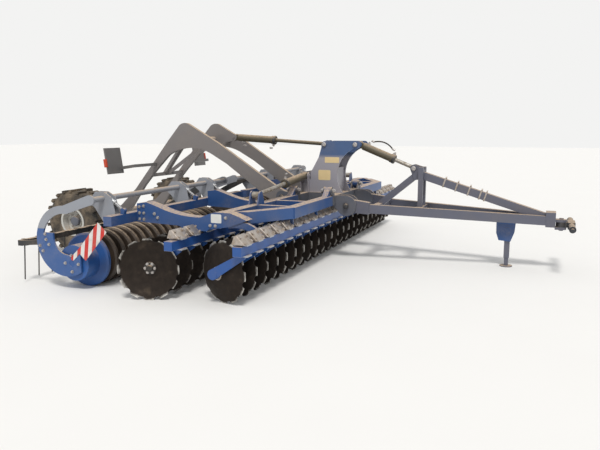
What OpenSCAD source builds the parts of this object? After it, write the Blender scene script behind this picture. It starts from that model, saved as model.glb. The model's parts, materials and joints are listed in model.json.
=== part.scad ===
/* [Discs] */
// Diameter of the notched discs
disc_d = 620; // [600:10:640]
// Wall of a disc
disc_wall = 6; // [5:0.5:8]
// Depth of a disc's dish
disc_dish = 72; // [64:1:76]
// Number of notches round a disc
disc_notches = 12; // [8:1:16]
// Angle of a disc to the line of travel
disc_angle = 20; // [16:1:21]

/* [Disc rows] */
// Distance between neighbouring discs of a row
disc_pitch = 250; // [248:1:252]
// Discs in one wing's row
row_discs = 12; // [11:1:12]
// Height of the disc carrier tubes above the floor
row_beam_z = 570; // [568:1:580]
// Side of the square disc carrier tubes
row_beam_w = 90; // [80:5:90]
// Place of the rear disc carrier behind the front one
row_gap = 740; // [730:5:750]
// How far a disc trails its carrier tube
disc_trail = 275; // [272:1:285]
// How far a disc's rim stands beside its arm
disc_side = 130; // [126:1:134]
// Place of the first rear disc arm along its row
rear_first = 190; // [188:1:192]
// Width of a clamp plate along its tube
clamp_w = 95; // [80:5:95]
// Length of a clamp plate across its tube
clamp_l = 145; // [130:5:150]

/* [Frame] */
// Height of the frame tubes' centre above the floor
frame_z = 790; // [785:1:795]
// Side of the square frame tubes
frame_w = 120; // [110:5:120]
// Place of the front cross tube
front_tube_x = 40; // [20:5:45]
// Place of the middle cross tube
mid_tube_x = -430; // [-435:5:-425]
// Distance of the wing hinges from the middle
hinge_y = 600; // [595:1:605]
// Height of the wing hinge pins
hinge_z = 915; // [912:1:918]
// Radius of the wing hinge pins
hinge_pin_r = 25; // [20:1:28]
// Radius of the wing hinge eyes
hinge_eye_r = 50; // [46:1:52]

/* [Tower] */
// Distance between the tower's side plates, outside
tower_w = 380; // [370:5:385]
// Thickness of the tower's side plates
tower_wall = 20; // [15:1:25]
// Height of the tower's top
tower_top_z = 1531; // [1528:1:1545]
// Place of the pin for the axle cylinder
tower_rear_pin = [-165, 1487]; // [-200:1:1500]
// Place of the pin for the drawbar cylinder
tower_front_pin = [262, 1487]; // [-200:1:1500]

/* [Drawbar] */
// Place and height of the drawbar's pivot
bar_pivot = [240, 720]; // [200:1:740]
// Distance of the pivot boxes from the middle
bar_pivot_y = 410; // [405:1:415]
// Place of the drawbar's front end
bar_front_x = 2600; // [2595:1:2602]
// Height of the beams at the front end
bar_front_z = 605; // [600:1:610]
// Place and height of the cylinder's pin on the drawbar
apex_pin = [1005, 1189]; // [900:1:1250]
// Height of the drawbar's beams
bar_h = 110; // [100:5:120]
// Width of the drawbar's beams
bar_w = 80; // [70:5:85]

/* [Hitch] */
// Place of the cross shaft
hitch_x = 2885; // [2882:1:2920]
// Place of the upright hitch pin
swivel_x = 2775; // [2775:1:2778]
// Height of the cross shaft
hitch_z = 560; // [558:1:566]
// Distance between the shoulders of the lower link pins
link_gap = 825; // [823:1:827]
// Length of each lower link pin
link_pin_l = 70; // [60:1:80]
// Radius of the lower link pins
link_pin_r = 18.3; // [14:0.1:18.5]

/* [Jack] */
// Place and height of the jack's pivot
jack_pivot = [2175, 480]; // [400:1:2200]
// Half the width of the jack's leg
jack_half_w = 35; // [30:1:40]

/* [Running gear] */
// Radius of the tyres
tyre_r = 436; // [430:1:445]
// Width of the tyres
tyre_w = 404; // [390:2:410]
// Radius of the rims
rim_r = 197; // [190:1:205]
// Distance of the wheels from the middle
wheel_y = 1200; // [1190:5:1210]
// Place and height of the running gear's pivot
gear_pivot = [-650, 800]; // [-700:1:820]
// Distance from the pivot to the axle
gear_reach = 2770; // [2765:1:2780]
// Distance of the arches from the middle
arch_y = 430; // [428:1:431]
// Thickness of the arches
arch_t = 60; // [50:1:60]

/* [Roller] */
// Radius of the roller's rings
roller_r = 290; // [285:1:295]
// Place of the roller
roller_x = -1975; // [-1980:1:-1970]
// Outer end of the roller from the middle
roller_y = 2900; // [2890:5:2905]
// Inner end of the roller from the middle
roller_inner_y = 180; // [175:1:200]
// Distance between neighbouring rings
ring_pitch = 136; // [130:1:150]
// Place of the tube that carries the roller
rear_tube_x = -1500; // [-1504:1:-1496]
// Height of that tube
rear_tube_z = 760; // [756:1:764]
// Side of that square tube
rear_tube_w = 100; // [94:1:104]
// Gap between the levelling bar and the tyres behind it
harrow_gap = 230; // [226:1:234]
// Height of the levelling bar
harrow_z = 455; // [452:1:458]

/* [Hidden] */
$fn = 48;

blue = "#24539b";
grey = "#77787a";
dark = "#3a3b3d";
silver = "#b9bcc0";
black = "#242526";
red = "#c8362c";
olive = "#5f5a4c";

fit = 0.05;
gap = 5;
pin_r = 20;
rod_r = 25;
barrel_r = 50;
eye_r = 45;
lug_t = 16;
eye_half = 40;
lug_gap = eye_half + gap;
lug_out = lug_gap + lug_t;

disc_r = disc_d / 2;
disc_z = disc_r;
frame_low = frame_z - frame_w / 2;
frame_top = frame_z + frame_w / 2;
row_top = row_beam_z + row_beam_w / 2;
row_low = row_beam_z - row_beam_w / 2;

gear_rest = asin((gear_pivot[1] - tyre_r) / gear_reach);
gear_lift = 8.5;
axle_rest_x = gear_pivot[0] - gear_reach * cos(gear_rest);
cross_half = 40;
shift_x = -(hitch_x + cross_half + axle_rest_x - tyre_r) / 2;
shift_y = -(rear_first - disc_pitch / 2) / 2;

// Points of the arc that passes through three points
function circle_centre(a, b, c) =
  let (d = 2 * (a[0] * (b[1] - c[1]) + b[0] * (c[1] - a[1]) + c[0] * (a[1] - b[1])),
    aa = a * a, bb = b * b, cc = c * c)
  [(aa * (b[1] - c[1]) + bb * (c[1] - a[1]) + cc * (a[1] - b[1])) / d,
   (aa * (c[0] - b[0]) + bb * (a[0] - c[0]) + cc * (b[0] - a[0])) / d];
function turn(from, to, way) =
  let (t = to - from)
  way > 0 ? (t < 0 ? t + 360 : t) : (t > 0 ? t - 360 : t);
function arc_through(a, b, c, steps = 8) =
  let (m = circle_centre(a, b, c), r = norm(a - m),
    from = atan2(a[1] - m[1], a[0] - m[0]), to = atan2(c[1] - m[1], c[0] - m[0]),
    side = (b[0] - a[0]) * (c[1] - b[1]) - (b[1] - a[1]) * (c[0] - b[0]),
    sweep = turn(from, to, side))
  [for (i = [0:steps]) m + r * [cos(from + sweep * i / steps), sin(from + sweep * i / steps)]];

// Place a shape that is drawn from the front disc carrier and the middle of the machine
module placed() {
  translate([shift_x, shift_y, 0]) children();
}

// Left or right half of the machine: side is 1 or -1
module on_side(side) {
  mirror([0, side > 0 ? 0 : 1, 0]) children();
}

// Upright plate along the machine, from an outline of lengths and heights
module plate_along(y, t) {
  translate([0, y + t / 2, 0]) rotate([90, 0, 0]) linear_extrude(t) children();
}

// Upright plate across the machine, from an outline of widths and heights
module plate_across(x, t) {
  translate([x - t / 2, 0, 0]) rotate([90, 0, 90]) linear_extrude(t) children();
}

// Square or flat tube across the machine
module tube_across(x, z, w, h, y0, y1) {
  translate([x - w / 2, y0, z - h / 2]) cube([w, y1 - y0, h]);
}

// Round bar across the machine
module round_across(x, z, r, y0, y1) {
  translate([x, y0, z]) rotate([-90, 0, 0]) cylinder(r = r, h = y1 - y0);
}

// Round bar along the machine
module round_along(y, z, r, x0, x1) {
  translate([x0, y, z]) rotate([0, 90, 0]) cylinder(r = r, h = x1 - x0);
}

// Flat bar from one point to another
module bar(p, q, w, h) {
  d = q - p;
  l = norm(d);
  translate(p) rotate([0, -asin(d[2] / l), atan2(d[1], d[0])])
    translate([0, -w / 2, -h / 2]) cube([l, w, h]);
}

// Round bar from one point to another
module round_bar(p, q, r) {
  d = q - p;
  l = norm(d);
  translate(p) rotate([0, acos(d[2] / l), atan2(d[1], d[0])]) cylinder(r = r, h = l);
}

// Flat link outline with round ends; its straight sides start a little inside the rounds
link_inset = 1;

module link_outline(p, q, r1, r2) {
  d = q - p;
  l = norm(d);
  h1 = r1 - link_inset;
  h2 = r2 - link_inset;
  translate(p) circle(r1);
  translate(q) circle(r2);
  translate(p) rotate(atan2(d[1], d[0])) polygon([[0, -h1], [l, -h2], [l, h2], [0, h1]]);
}

// Wing cylinder: pin at the tower and pin on the wing, as width and height
wing_cyl_root = [205, 1070];
wing_cyl_end = [1700, frame_top + 100];
wing_cyl_l = norm(wing_cyl_end - wing_cyl_root);
wing_cyl_angle = atan2(wing_cyl_end[1] - wing_cyl_root[1], wing_cyl_end[0] - wing_cyl_root[0]);
wing_barrel_l = 700;
wing_rod_from = 590;
wing_lug_x = [mid_tube_x - lug_gap - lug_t / 2, mid_tube_x + lug_gap + lug_t / 2];

// Tower
tower_outline = concat(
  [[mid_tube_x - lug_out, frame_top], [mid_tube_x - lug_out, frame_top + 110], [-356, frame_top + 175]],
  [[-355, 1110], [-241, 1319], [-205, 1450]],
  arc_through([-205, 1475], [-190, tower_top_z - 16], [-150, tower_top_z], 4),
  arc_through([290, tower_top_z], [318, tower_top_z - 14], [325, 1490], 4),
  [[318, 1440]],
  arc_through([250, 1440], [30, 1190], [95, frame_top], 12));
tower_side = tower_w / 2 - tower_wall / 2;
tower_deck_z = 1395;
boss_r = 34;

module tower() {
  color(blue) placed() {
    for (side = [-1, 1]) on_side(side) {
      plate_along(tower_side, tower_wall) polygon(tower_outline);
      round_across(tower_rear_pin[0], tower_rear_pin[1], boss_r, tower_w / 2 - 1, tower_w / 2 + 10);
      round_across(tower_front_pin[0], tower_front_pin[1], boss_r, tower_w / 2 - 1, tower_w / 2 + 10);
      plate_along(lug_gap + lug_t / 2, lug_t) link_outline(tower_rear_pin, [-60, 1440], 52, 60);
      plate_along(lug_gap + lug_t / 2, lug_t) link_outline(tower_front_pin, [160, 1440], 46, 60);
      round_along(wing_cyl_root[0], wing_cyl_root[1], pin_r, wing_lug_x[0] - lug_t, wing_lug_x[1] + lug_t);
    }
    round_across(tower_front_pin[0], tower_front_pin[1], pin_r, -lug_out - 8, lug_out + 8);
    translate([-120, -tower_side, tower_deck_z]) cube([260, 2 * tower_side, tower_wall]);
    for (x = [-120, 120])
      translate([x, -tower_side, tower_deck_z]) cube([tower_wall, 2 * tower_side, 100]);
    translate([-300, -tower_side, 900]) cube([tower_wall, 2 * tower_side, 220]);
    translate([-20, -tower_side, frame_top]) cube([tower_wall, 2 * tower_side, 330]);
    for (x = wing_lug_x) plate_across(x, lug_t) wing_root_outline();
  }
}

module wing_root_outline() {
  y = wing_cyl_root[0];
  z = wing_cyl_root[1];
  slant = eye_r * cos(45);
  polygon(concat([[-y - 15, frame_top], [y + 15, frame_top]],
    arc_through([y + eye_r, z - 10], [y + slant, z + slant], [y - 10, z + eye_r], 6),
    arc_through([10 - y, z + eye_r], [-y - slant, z + slant], [-y - eye_r, z - 10], 6)));
}

// Main frame: cross tubes, tower bearers, hinge eyes and the pivots' ears
ear_t = 20;
ear_r = 130;
box_w = 100;
gear_ear_r = 85;
hinge_leaf = 70;
hinge_ear_t = 20;
hinge_gap = 0.3;
pivot_pin_r = 30;
bearer_w = 80;

module main_frame() {
  color(grey) placed() {
    for (x = [front_tube_x, mid_tube_x])
      tube_across(x, frame_z, frame_w, frame_w, -hinge_y + gap, hinge_y - gap);
    for (side = [-1, 1]) on_side(side) {
      translate([mid_tube_x, tower_side - bearer_w / 2, frame_low])
        cube([front_tube_x - mid_tube_x, bearer_w, frame_w]);
      for (x = [front_tube_x, mid_tube_x]) hinge_ears(x);
      for (s = [-1, 1]) {
        plate_along(bar_pivot_y + s * (box_w / 2 + gap + ear_t / 2), ear_t) bar_ear();
        plate_along(arch_y + s * (arch_t / 2 + gap + ear_t / 2), ear_t) gear_ear();
      }
      round_across(bar_pivot[0], bar_pivot[1], pivot_pin_r,
        bar_pivot_y - box_w / 2 - gap - ear_t, bar_pivot_y + box_w / 2 + gap + ear_t + 12);
      round_across(gear_pivot[0], gear_pivot[1], pivot_pin_r,
        arch_y - arch_t / 2 - gap - ear_t, arch_y + arch_t / 2 + gap + ear_t + 12);
      for (x = [front_tube_x, mid_tube_x])
        round_along(hinge_y, hinge_z, hinge_pin_r, x - hinge_leaf / 2 - hinge_ear_t - 10,
          x + hinge_leaf / 2 + hinge_ear_t + 10);
    }
  }
}

module hinge_ears(x) {
  for (s = [-1, 1])
    plate_across(x + s * (hinge_leaf / 2 + hinge_gap + hinge_ear_t / 2), hinge_ear_t) {
      translate([hinge_y, hinge_z]) circle(hinge_eye_r);
      polygon([[hinge_y - 110, frame_top - 20], [hinge_y - gap, frame_top - 20],
        [hinge_y - gap, hinge_z], [hinge_y - 20, hinge_z + hinge_eye_r - 6]]);
    }
}

module bar_ear() {
  translate(bar_pivot) circle(ear_r);
  polygon([[front_tube_x, frame_low], [bar_pivot[0] - 40, bar_pivot[1] - ear_r + 10],
    [bar_pivot[0], bar_pivot[1]], [bar_pivot[0] - 10, bar_pivot[1] + ear_r - 2], [front_tube_x, frame_top]]);
}

module gear_ear() {
  translate(gear_pivot) circle(gear_ear_r);
  polygon([[mid_tube_x - frame_w / 2 + 10, frame_low], [gear_pivot[0], gear_pivot[1] - gear_ear_r],
    [gear_pivot[0], gear_pivot[1] + gear_ear_r], [mid_tube_x - frame_w / 2 + 10, frame_top]]);
}

// Drawbar: two converging beams, a truss with posts, and a front block
beam_start_x = bar_pivot[0] + 230;
beam_start_z = bar_pivot[1] - 30;
beam_end_y = 62;
pivot_box_r = 84;

function beam_share(x) = (x - beam_start_x) / (bar_front_x - beam_start_x);
function beam_y(x) = bar_pivot_y + (beam_end_y - bar_pivot_y) * beam_share(x);
function beam_mid_z(x) = beam_start_z + (bar_front_z - beam_start_z) * beam_share(x);

// One beam of the drawbar, or with some more around it the room that it takes
module beam_bar(more = 0) {
  bar([beam_start_x, bar_pivot_y, beam_start_z], [bar_front_x, beam_end_y, bar_front_z],
    bar_w + more, bar_h + more);
}

module drawbar_beams(side) {
  color(grey) placed() on_side(side) difference() {
    union() {
      plate_along(bar_pivot_y, box_w) {
        translate(bar_pivot) circle(pivot_box_r);
        polygon([[bar_pivot[0], bar_pivot[1] - pivot_box_r], [beam_start_x + 60, beam_start_z - 70],
          [beam_start_x + 60, beam_start_z + 78], [bar_pivot[0], bar_pivot[1] + pivot_box_r]]);
      }
      beam_bar();
    }
    round_across(bar_pivot[0], bar_pivot[1], pivot_pin_r + fit, 0, 2 * bar_pivot_y);
  }
}

post_x = 1105;
post_y = 95;
post_w = [60, 50];
brace_foot_x = beam_start_x + 100;
front_block = [110, 210, 175];
front_block_low = bar_front_z - 75;
block_front_x = bar_front_x + front_block[0];
swivel_r = 25;
swivel_ear_t = 30;
tongue_h = 60;
tongue_r = 60;

module drawbar_truss() {
  color(grey) placed() {
    difference() {
      union() {
        for (x = [brace_foot_x, post_x])
          tube_across(x, beam_mid_z(x), 80, 80, -beam_y(x), beam_y(x));
        for (y = [-post_y, post_y])
          translate([post_x - post_w[0] / 2, y - post_w[1] / 2, beam_mid_z(post_x) + 38])
            cube([post_w[0], post_w[1], apex_pin[1] - beam_mid_z(post_x) - 20]);
        bar([brace_foot_x, 0, beam_mid_z(brace_foot_x) + 30],
          [apex_pin[0] + 60, 0, apex_pin[1] - 60], 100, 80);
        translate([post_x - post_w[0] / 2, -post_y, apex_pin[1] - 140]) cube([post_w[0], 2 * post_y, 120]);
        bar([post_x - 20, 0, apex_pin[1] - 80], [bar_front_x + 10, 0, bar_front_z + 30], 100, 95);
        for (y = [-1, 1] * (lug_gap + lug_t / 2)) plate_along(y, lug_t) {
          translate(apex_pin) circle(48);
          polygon([[apex_pin[0] - 46, apex_pin[1] - 14], [apex_pin[0] + 10, apex_pin[1] - 150],
            [post_x + 40, apex_pin[1] - 130], [post_x + 30, apex_pin[1] + 10],
            [apex_pin[0] + 10, apex_pin[1] + 47]]);
        }
        translate([bar_front_x, -front_block[1] / 2, front_block_low]) cube(front_block);
        for (s = [-1, 1]) on_side(s) round_across(apex_pin[0], apex_pin[1], 28, lug_out - 1, lug_out + 10);
      }
      for (side = [-1, 1]) on_side(side) beam_bar(0.2);
      round_across(apex_pin[0], apex_pin[1], 62, -lug_gap, lug_gap);
    }
    for (z = [hitch_z + tongue_h / 2 + hinge_gap, hitch_z - tongue_h / 2 - hinge_gap - swivel_ear_t])
      translate([0, 0, z]) {
        translate([swivel_x, 0, 0]) cylinder(r = tongue_r, h = swivel_ear_t);
        translate([block_front_x - 5, -tongue_r, 0])
          cube([swivel_x - block_front_x + 5, 2 * tongue_r, swivel_ear_t]);
      }
    translate([block_front_x - 5, -tongue_r, hitch_z - tongue_h / 2 - hinge_gap - swivel_ear_t])
      cube([5, 2 * tongue_r, swivel_ear_t + 5]);
    translate([swivel_x, 0, hitch_z - tongue_h / 2 - swivel_ear_t - 15])
      cylinder(r = swivel_r, h = tongue_h + 2 * swivel_ear_t + 30);
  }
}

module hitch_head() {
  color(dark) placed() difference() {
    union() {
      translate([swivel_x, 0, hitch_z - tongue_h / 2]) cylinder(r = tongue_r, h = tongue_h);
      bar([swivel_x, 0, hitch_z], [hitch_x, 0, hitch_z], 90, tongue_h);
      round_across(hitch_x, hitch_z, cross_half - 2, -link_gap / 2, link_gap / 2);
      round_across(hitch_x, hitch_z, link_pin_r, -link_gap / 2 - link_pin_l, link_gap / 2 + link_pin_l);
      tube_across(hitch_x, hitch_z, 2 * cross_half, 2 * cross_half, -130, 130);
    }
    translate([swivel_x, 0, 0]) cylinder(r = swivel_r + fit, h = 1500);
  }
}

// Jack with its bracket under the drawbar
jack_foot_r = 75;
jack_foot_t = 12;
jack_pin_r = 16;
jack_plate_t = 12;
jack_top = [2060, 2250];

module jack_bracket() {
  color(blue) placed() difference() {
    union() {
      for (side = [-1, 1]) on_side(side)
        plate_along(jack_half_w + gap + jack_plate_t / 2, jack_plate_t)
          polygon([[2040, beam_mid_z(2040)], [2045, 420], [2075, 330], [2215, 318], [2255, 430],
            [2270, beam_mid_z(2270)]]);
      translate([jack_top[0], -beam_y(jack_top[0]), beam_mid_z(jack_top[0]) - bar_h / 2 - 22])
        cube([jack_top[1] - jack_top[0], 2 * beam_y(jack_top[0]), 50]);
      round_across(jack_pivot[0], jack_pivot[1], jack_pin_r,
        -jack_half_w - gap - 18, jack_half_w + gap + 18);
    }
    for (side = [-1, 1]) on_side(side) beam_bar();
  }
}

module jack_leg() {
  color(grey) placed() difference() {
    union() {
      translate([jack_pivot[0] - 32, -jack_half_w, 110]) cube([64, 2 * jack_half_w, jack_pivot[1] - 110]);
      round_across(jack_pivot[0], jack_pivot[1], 32, -jack_half_w, jack_half_w);
      translate([jack_pivot[0] - 24, -26, jack_foot_t / 2]) cube([48, 52, 120]);
      translate([jack_pivot[0], 0, 0]) cylinder(r = jack_foot_r, h = jack_foot_t);
    }
    round_across(jack_pivot[0], jack_pivot[1], jack_pin_r + fit, -100, 100);
  }
}

// Hydraulic cylinders, drawn from the root pin along +X
gland_l = 60;
gland_r = 57;

module cylinder_barrel(l) {
  difference() {
    union() {
      round_across(0, 0, eye_r, -eye_half, eye_half);
      translate([0, -eye_half, 8 - eye_r]) cube([eye_r + 20, 2 * eye_half, 2 * eye_r - 16]);
      round_along(0, 0, barrel_r, eye_r + 18, l);
      round_along(0, 0, gland_r, l - gland_l, l);
    }
    round_across(0, 0, pin_r + fit, -200, 200);
    round_along(0, 0, rod_r + fit, eye_r + 40, 2 * l);
  }
}

module cylinder_rod(from, l) {
  round_along(0, 0, rod_r, from, l - 20);
  round_across(l, 0, eye_r - 7, -eye_half, eye_half);
}

// Drawbar cylinder
bar_cyl_l = norm(apex_pin - tower_front_pin);
bar_cyl_angle = atan2(apex_pin[1] - tower_front_pin[1], apex_pin[0] - tower_front_pin[0]);
bar_barrel_l = 520;
bar_rod_from = 300;

module at_drawbar_cylinder() {
  placed() translate([tower_front_pin[0], 0, tower_front_pin[1]]) rotate([0, -bar_cyl_angle, 0]) children();
}

module drawbar_barrel() {
  color(olive) at_drawbar_cylinder() cylinder_barrel(bar_barrel_l);
}

module drawbar_rod() {
  color(silver) at_drawbar_cylinder() cylinder_rod(bar_rod_from, bar_cyl_l);
}

// Running gear: drawn lifted, then lowered until the wheels stand on the floor
lifted_axle = gear_pivot - gear_reach * [cos(gear_rest - gear_lift), sin(gear_rest - gear_lift)];
gear_cyl_pin = [-1463, 1704];
gear_boss_r = 80;
axle_r = 60;
axle_seat_r = 105;
hub_r = 80;
stub_r = 40;

function lowered(p) =
  let (x = p[0] - gear_pivot[0], z = p[1] - gear_pivot[1])
  gear_pivot + [x * cos(gear_lift) - z * sin(gear_lift), z * cos(gear_lift) + x * sin(gear_lift)];

module gear_lowered() {
  translate([gear_pivot[0], 0, gear_pivot[1]]) rotate([0, -gear_lift, 0])
    translate([-gear_pivot[0], 0, -gear_pivot[1]]) children();
}

arch_outline = concat(
  [lifted_axle + [-15, 100], [-3290, 960], [-2976, 1175], [-2281, 1790]],
  arc_through([-2070, 1965], [-2000, 1984], [-1930, 1965], 6),
  [[-1502, 1635], [-730, 955], [-600, 865], [-605, 745], [-790, 752], [-880, 825]],
  [[-1145, 1078], [-1416, 1338]],
  arc_through([-1645, 1515], [-1992, 1634], [-2330, 1575], 10),
  [[-2583, 1392], [-2816, 1202], [-3180, 840], lifted_axle + [10, -100]]);

module arch(side) {
  color(grey) placed() gear_lowered() on_side(side) difference() {
    union() {
      plate_along(arch_y, arch_t) polygon(arch_outline);
      round_across(gear_pivot[0], gear_pivot[1], gear_boss_r, arch_y - arch_t / 2, arch_y + arch_t / 2);
      round_across(lifted_axle[0], lifted_axle[1], axle_seat_r, arch_y - arch_t / 2, arch_y + arch_t / 2);
    }
    round_across(gear_pivot[0], gear_pivot[1], pivot_pin_r + fit, 0, 2 * arch_y);
    round_across(lifted_axle[0], lifted_axle[1], axle_r, 0, 2 * arch_y);
  }
}

module axle() {
  color(grey) placed() gear_lowered() {
    round_across(lifted_axle[0], lifted_axle[1], axle_r,
      -wheel_y + tyre_w / 2 + 20, wheel_y - tyre_w / 2 - 20);
    round_across(lifted_axle[0], lifted_axle[1], stub_r, -wheel_y - 60, wheel_y + 60);
  }
}

brace_end = arch_y - arch_t / 2;
brace_low = [-2720, 1335];
brace_high = [-2050, 1765];
cyl_tube = [-1790, 1715];

module arch_bracing() {
  color(grey) placed() gear_lowered() {
    round_across(cyl_tube[0], cyl_tube[1], 45, -brace_end, brace_end);
    tube_across(brace_low[0], brace_low[1], 60, 50, -brace_end, brace_end);
    tube_across(brace_high[0], brace_high[1], 60, 60, -brace_end, brace_end);
    for (side = [-1, 1]) on_side(side) {
      bar([brace_low[0], 40, brace_low[1]], [brace_high[0], brace_end - 40, brace_high[1]], 60, 50);
      plate_along(lug_gap + lug_t / 2, lug_t) link_outline(gear_cyl_pin, cyl_tube, 48, 60);
    }
    round_across(gear_cyl_pin[0], gear_cyl_pin[1], pin_r, -lug_out - 8, lug_out + 8);
  }
}

board_x = -2790;
board_in = 930;
board_size = [20, 320, 350];
board_low = 1410;
board_bar = [-2560, 1480];
board_bar_w = 40;
board_lamp = [30, 110, 120];

module light_boards() {
  color(dark) placed() gear_lowered() for (side = [-1, 1]) on_side(side) {
    tube_across(board_bar[0], board_bar[1], board_bar_w, board_bar_w, arch_y + arch_t / 2, board_in + 50);
    translate([board_x, board_in + 10, board_bar[1] - board_bar_w / 2])
      cube([board_bar[0] - board_x, board_bar_w, board_bar_w]);
    translate([board_x, board_in, board_low]) cube(board_size);
    translate([board_x - board_lamp[0], board_in + 150, board_low + 30]) cube(board_lamp);
  }
}

// Wheels
module wheel_place(side) {
  placed() translate([axle_rest_x, side * wheel_y, tyre_r]) rotate([side > 0 ? -90 : 90, 0, 0]) children();
}

rim_w = 330;
rim_wall = 30;

module rim(side) {
  color(silver) wheel_place(side) rotate_extrude()
    polygon([[stub_r + fit, -60], [hub_r, -60], [hub_r, 10], [110, 20],
      [rim_r - rim_wall, 40], [rim_r - rim_wall, -rim_w / 2], [rim_r, -rim_w / 2],
      [rim_r, rim_w / 2], [rim_r - rim_wall, rim_w / 2], [rim_r - rim_wall, 60],
      [110, 40], [hub_r, 40], [hub_r, 80], [stub_r + fit, 80]]);
}

lug_count = 22;
lug_h = 22;
lug_w = 44;
tread_r = tyre_r - lug_h;

module tyre(side) {
  color(black) wheel_place(side) {
    rotate_extrude() polygon(concat(
      [[rim_r, -rim_w / 2]],
      arc_through([rim_r + 25, -rim_w / 2 - 15], [tyre_r - 110, -tyre_w / 2],
        [tread_r - 18, -tyre_w / 2 + 35], 5),
      arc_through([tread_r - 4, -tyre_w / 2 + 60], [tread_r, 0], [tread_r - 4, tyre_w / 2 - 60], 4),
      arc_through([tread_r - 18, tyre_w / 2 - 35], [tyre_r - 110, tyre_w / 2],
        [rim_r + 25, rim_w / 2 + 15], 5),
      [[rim_r, rim_w / 2]]));
    intersection() {
      cylinder(r = tyre_r, h = tyre_w, center = true);
      union() for (i = [0:lug_count - 1], s = [-1, 1])
        rotate(360 / lug_count * (i + (s > 0 ? 0.5 : 0)))
          translate([tread_r - 16, -lug_w / 2, s > 0 ? 8 : 22 - tyre_w / 2])
            cube([lug_h + 30, lug_w, tyre_w / 2 - 30]);
    }
  }
}

// Running gear cylinder
gear_pin_rest = lowered(gear_cyl_pin);
gear_cyl_l = norm(gear_pin_rest - tower_rear_pin);
gear_cyl_angle = atan2(tower_rear_pin[1] - gear_pin_rest[1], tower_rear_pin[0] - gear_pin_rest[0]);
gear_barrel_l = 640;
gear_rod_from = 300;

module at_gear_cylinder() {
  placed() translate([gear_pin_rest[0], 0, gear_pin_rest[1]]) rotate([0, -gear_cyl_angle, 0]) children();
}

module axle_barrel() {
  color(olive) at_gear_cylinder() cylinder_barrel(gear_barrel_l);
}

module axle_rod() {
  color(olive) at_gear_cylinder() cylinder_rod(gear_rod_from, gear_cyl_l);
}

// Wing frame
wing_inner_y = hinge_y + gap;
corner_y = 1850;
corner_x = -300;
side_y = 2430;
side_w = 140;
inner_side_y = 980;
inner_side_w = 120;
side_in = side_y - side_w / 2;
hanger_y = [1000, 1750];
cross_y = [1250, 1750];

// Plan of the wing's tubes: two across and one that slants back to the side box
slant_start = [front_tube_x, corner_y - 38];
slant_run = [corner_x, side_in + 50] - slant_start;
slant_half = frame_w / 2 / norm(slant_run) * [slant_run[1], -slant_run[0]];

function slant_end(p) = p + slant_run * (side_in - p[1]) / slant_run[1];

module wing_tubes_plan() {
  for (tube = [[front_tube_x, corner_y], [mid_tube_x, side_in]])
    translate([tube[0] - frame_w / 2, wing_inner_y]) square([frame_w, tube[1] - wing_inner_y]);
  polygon([slant_start + slant_half, slant_end(slant_start + slant_half),
    slant_end(slant_start - slant_half), slant_start - slant_half]);
}

module wing_frame(side) {
  color(blue) placed() on_side(side) difference() {
    union() {
      translate([0, 0, frame_low]) linear_extrude(frame_w) wing_tubes_plan();
      for (x = [front_tube_x, mid_tube_x]) plate_across(x, hinge_leaf) hinge_leaf_outline();
      for (x = wing_lug_x) plate_across(x, lug_t) {
        translate(wing_cyl_end) circle(46);
        polygon([[wing_cyl_end[0] - 85, frame_top - 5], [wing_cyl_end[0] + 85, frame_top - 5],
          [wing_cyl_end[0] + 40, wing_cyl_end[1] + 22], [wing_cyl_end[0] - 40, wing_cyl_end[1] + 22]]);
      }
      for (y = cross_y)
        translate([mid_tube_x, y - 40, frame_z - 30])
          cube([front_tube_x - mid_tube_x, 80, frame_w / 2 + 30]);
      for (y = hanger_y) translate([-40, y - 15, row_top]) cube([80, 30, frame_low - row_top + 5]);
    }
    for (x = [front_tube_x, mid_tube_x]) round_along(hinge_y, hinge_z, hinge_pin_r + fit, x - 100, x + 100);
  }
}

module hinge_leaf_outline() {
  translate([hinge_y, hinge_z]) circle(hinge_eye_r - 2);
  polygon([[hinge_y + 20, hinge_z + hinge_eye_r - 10], [hinge_y + 160, frame_top - 10],
    [wing_inner_y + 8, frame_top - 10], [wing_inner_y + 8, hinge_z - 20], [hinge_y, hinge_z]]);
}

// Outlines of the long box plates that join the wing's tubes
side_rear_x = rear_tube_x + rear_tube_w / 2;
over_clamps = row_top + 35;
side_back = concat(
  [[side_rear_x, 705], [side_rear_x, 900], [-1330, 917]],
  arc_through([-1185, 873], [-1000, 818], [-677, 789], 8));
side_under = [[-600, over_clamps], [-860, over_clamps], [-930, 690]];
side_outline = concat(side_back,
  [[-560, 835], [-500, frame_top], [-330, frame_top]],
  arc_through([-300, 838], [-210, 808], [-150, 782], 4),
  arc_through([-330, 712], [-450, 690], [-580, 672], 4),
  side_under);
inner_outline = concat(side_back,
  [[-560, 820], [mid_tube_x - frame_w / 2, 830], [mid_tube_x - frame_w / 2, frame_low + 10]],
  side_under);

// Curved arm that carries the front disc row at the wing's outer end
neck_y = 2470;
neck_outline = concat(
  arc_through([-360, 745], [-180, 762], [40, row_top], 8),
  [[-40, row_top]],
  arc_through([-60, 640], [-170, 690], [-360, 690], 8));

// Feet of the box plates on the rear disc carrier: [place across, thickness]
side_feet = [[2375, 30], [1000, 24]];

module wing_side(side) {
  color(blue) placed() on_side(side) {
    plate_along(side_y, side_w) polygon(side_outline);
    plate_along(neck_y, 40) polygon(neck_outline);
    plate_along(inner_side_y, inner_side_w) polygon(inner_outline);
    for (f = side_feet)
      translate([-row_gap - 45, f[0] - f[1] / 2, row_top]) cube([90, f[1], 60]);
  }
}

// Disc rows: front discs look to the left and rear discs to the right
front = 0;
rear = 1;
rows = [
  // [carrier place, first arm along the row, side that the discs look to]
  [0, disc_pitch / 2, 1],
  [-row_gap, rear_first, -1]];
carrier_in = 8;
carrier_out = row_discs * disc_pitch - 10;
clamp_t = 12;
clamp_lift = 2;
arm_t = 28;
arm_w = 84;
disc_hub_r = 52;

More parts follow.
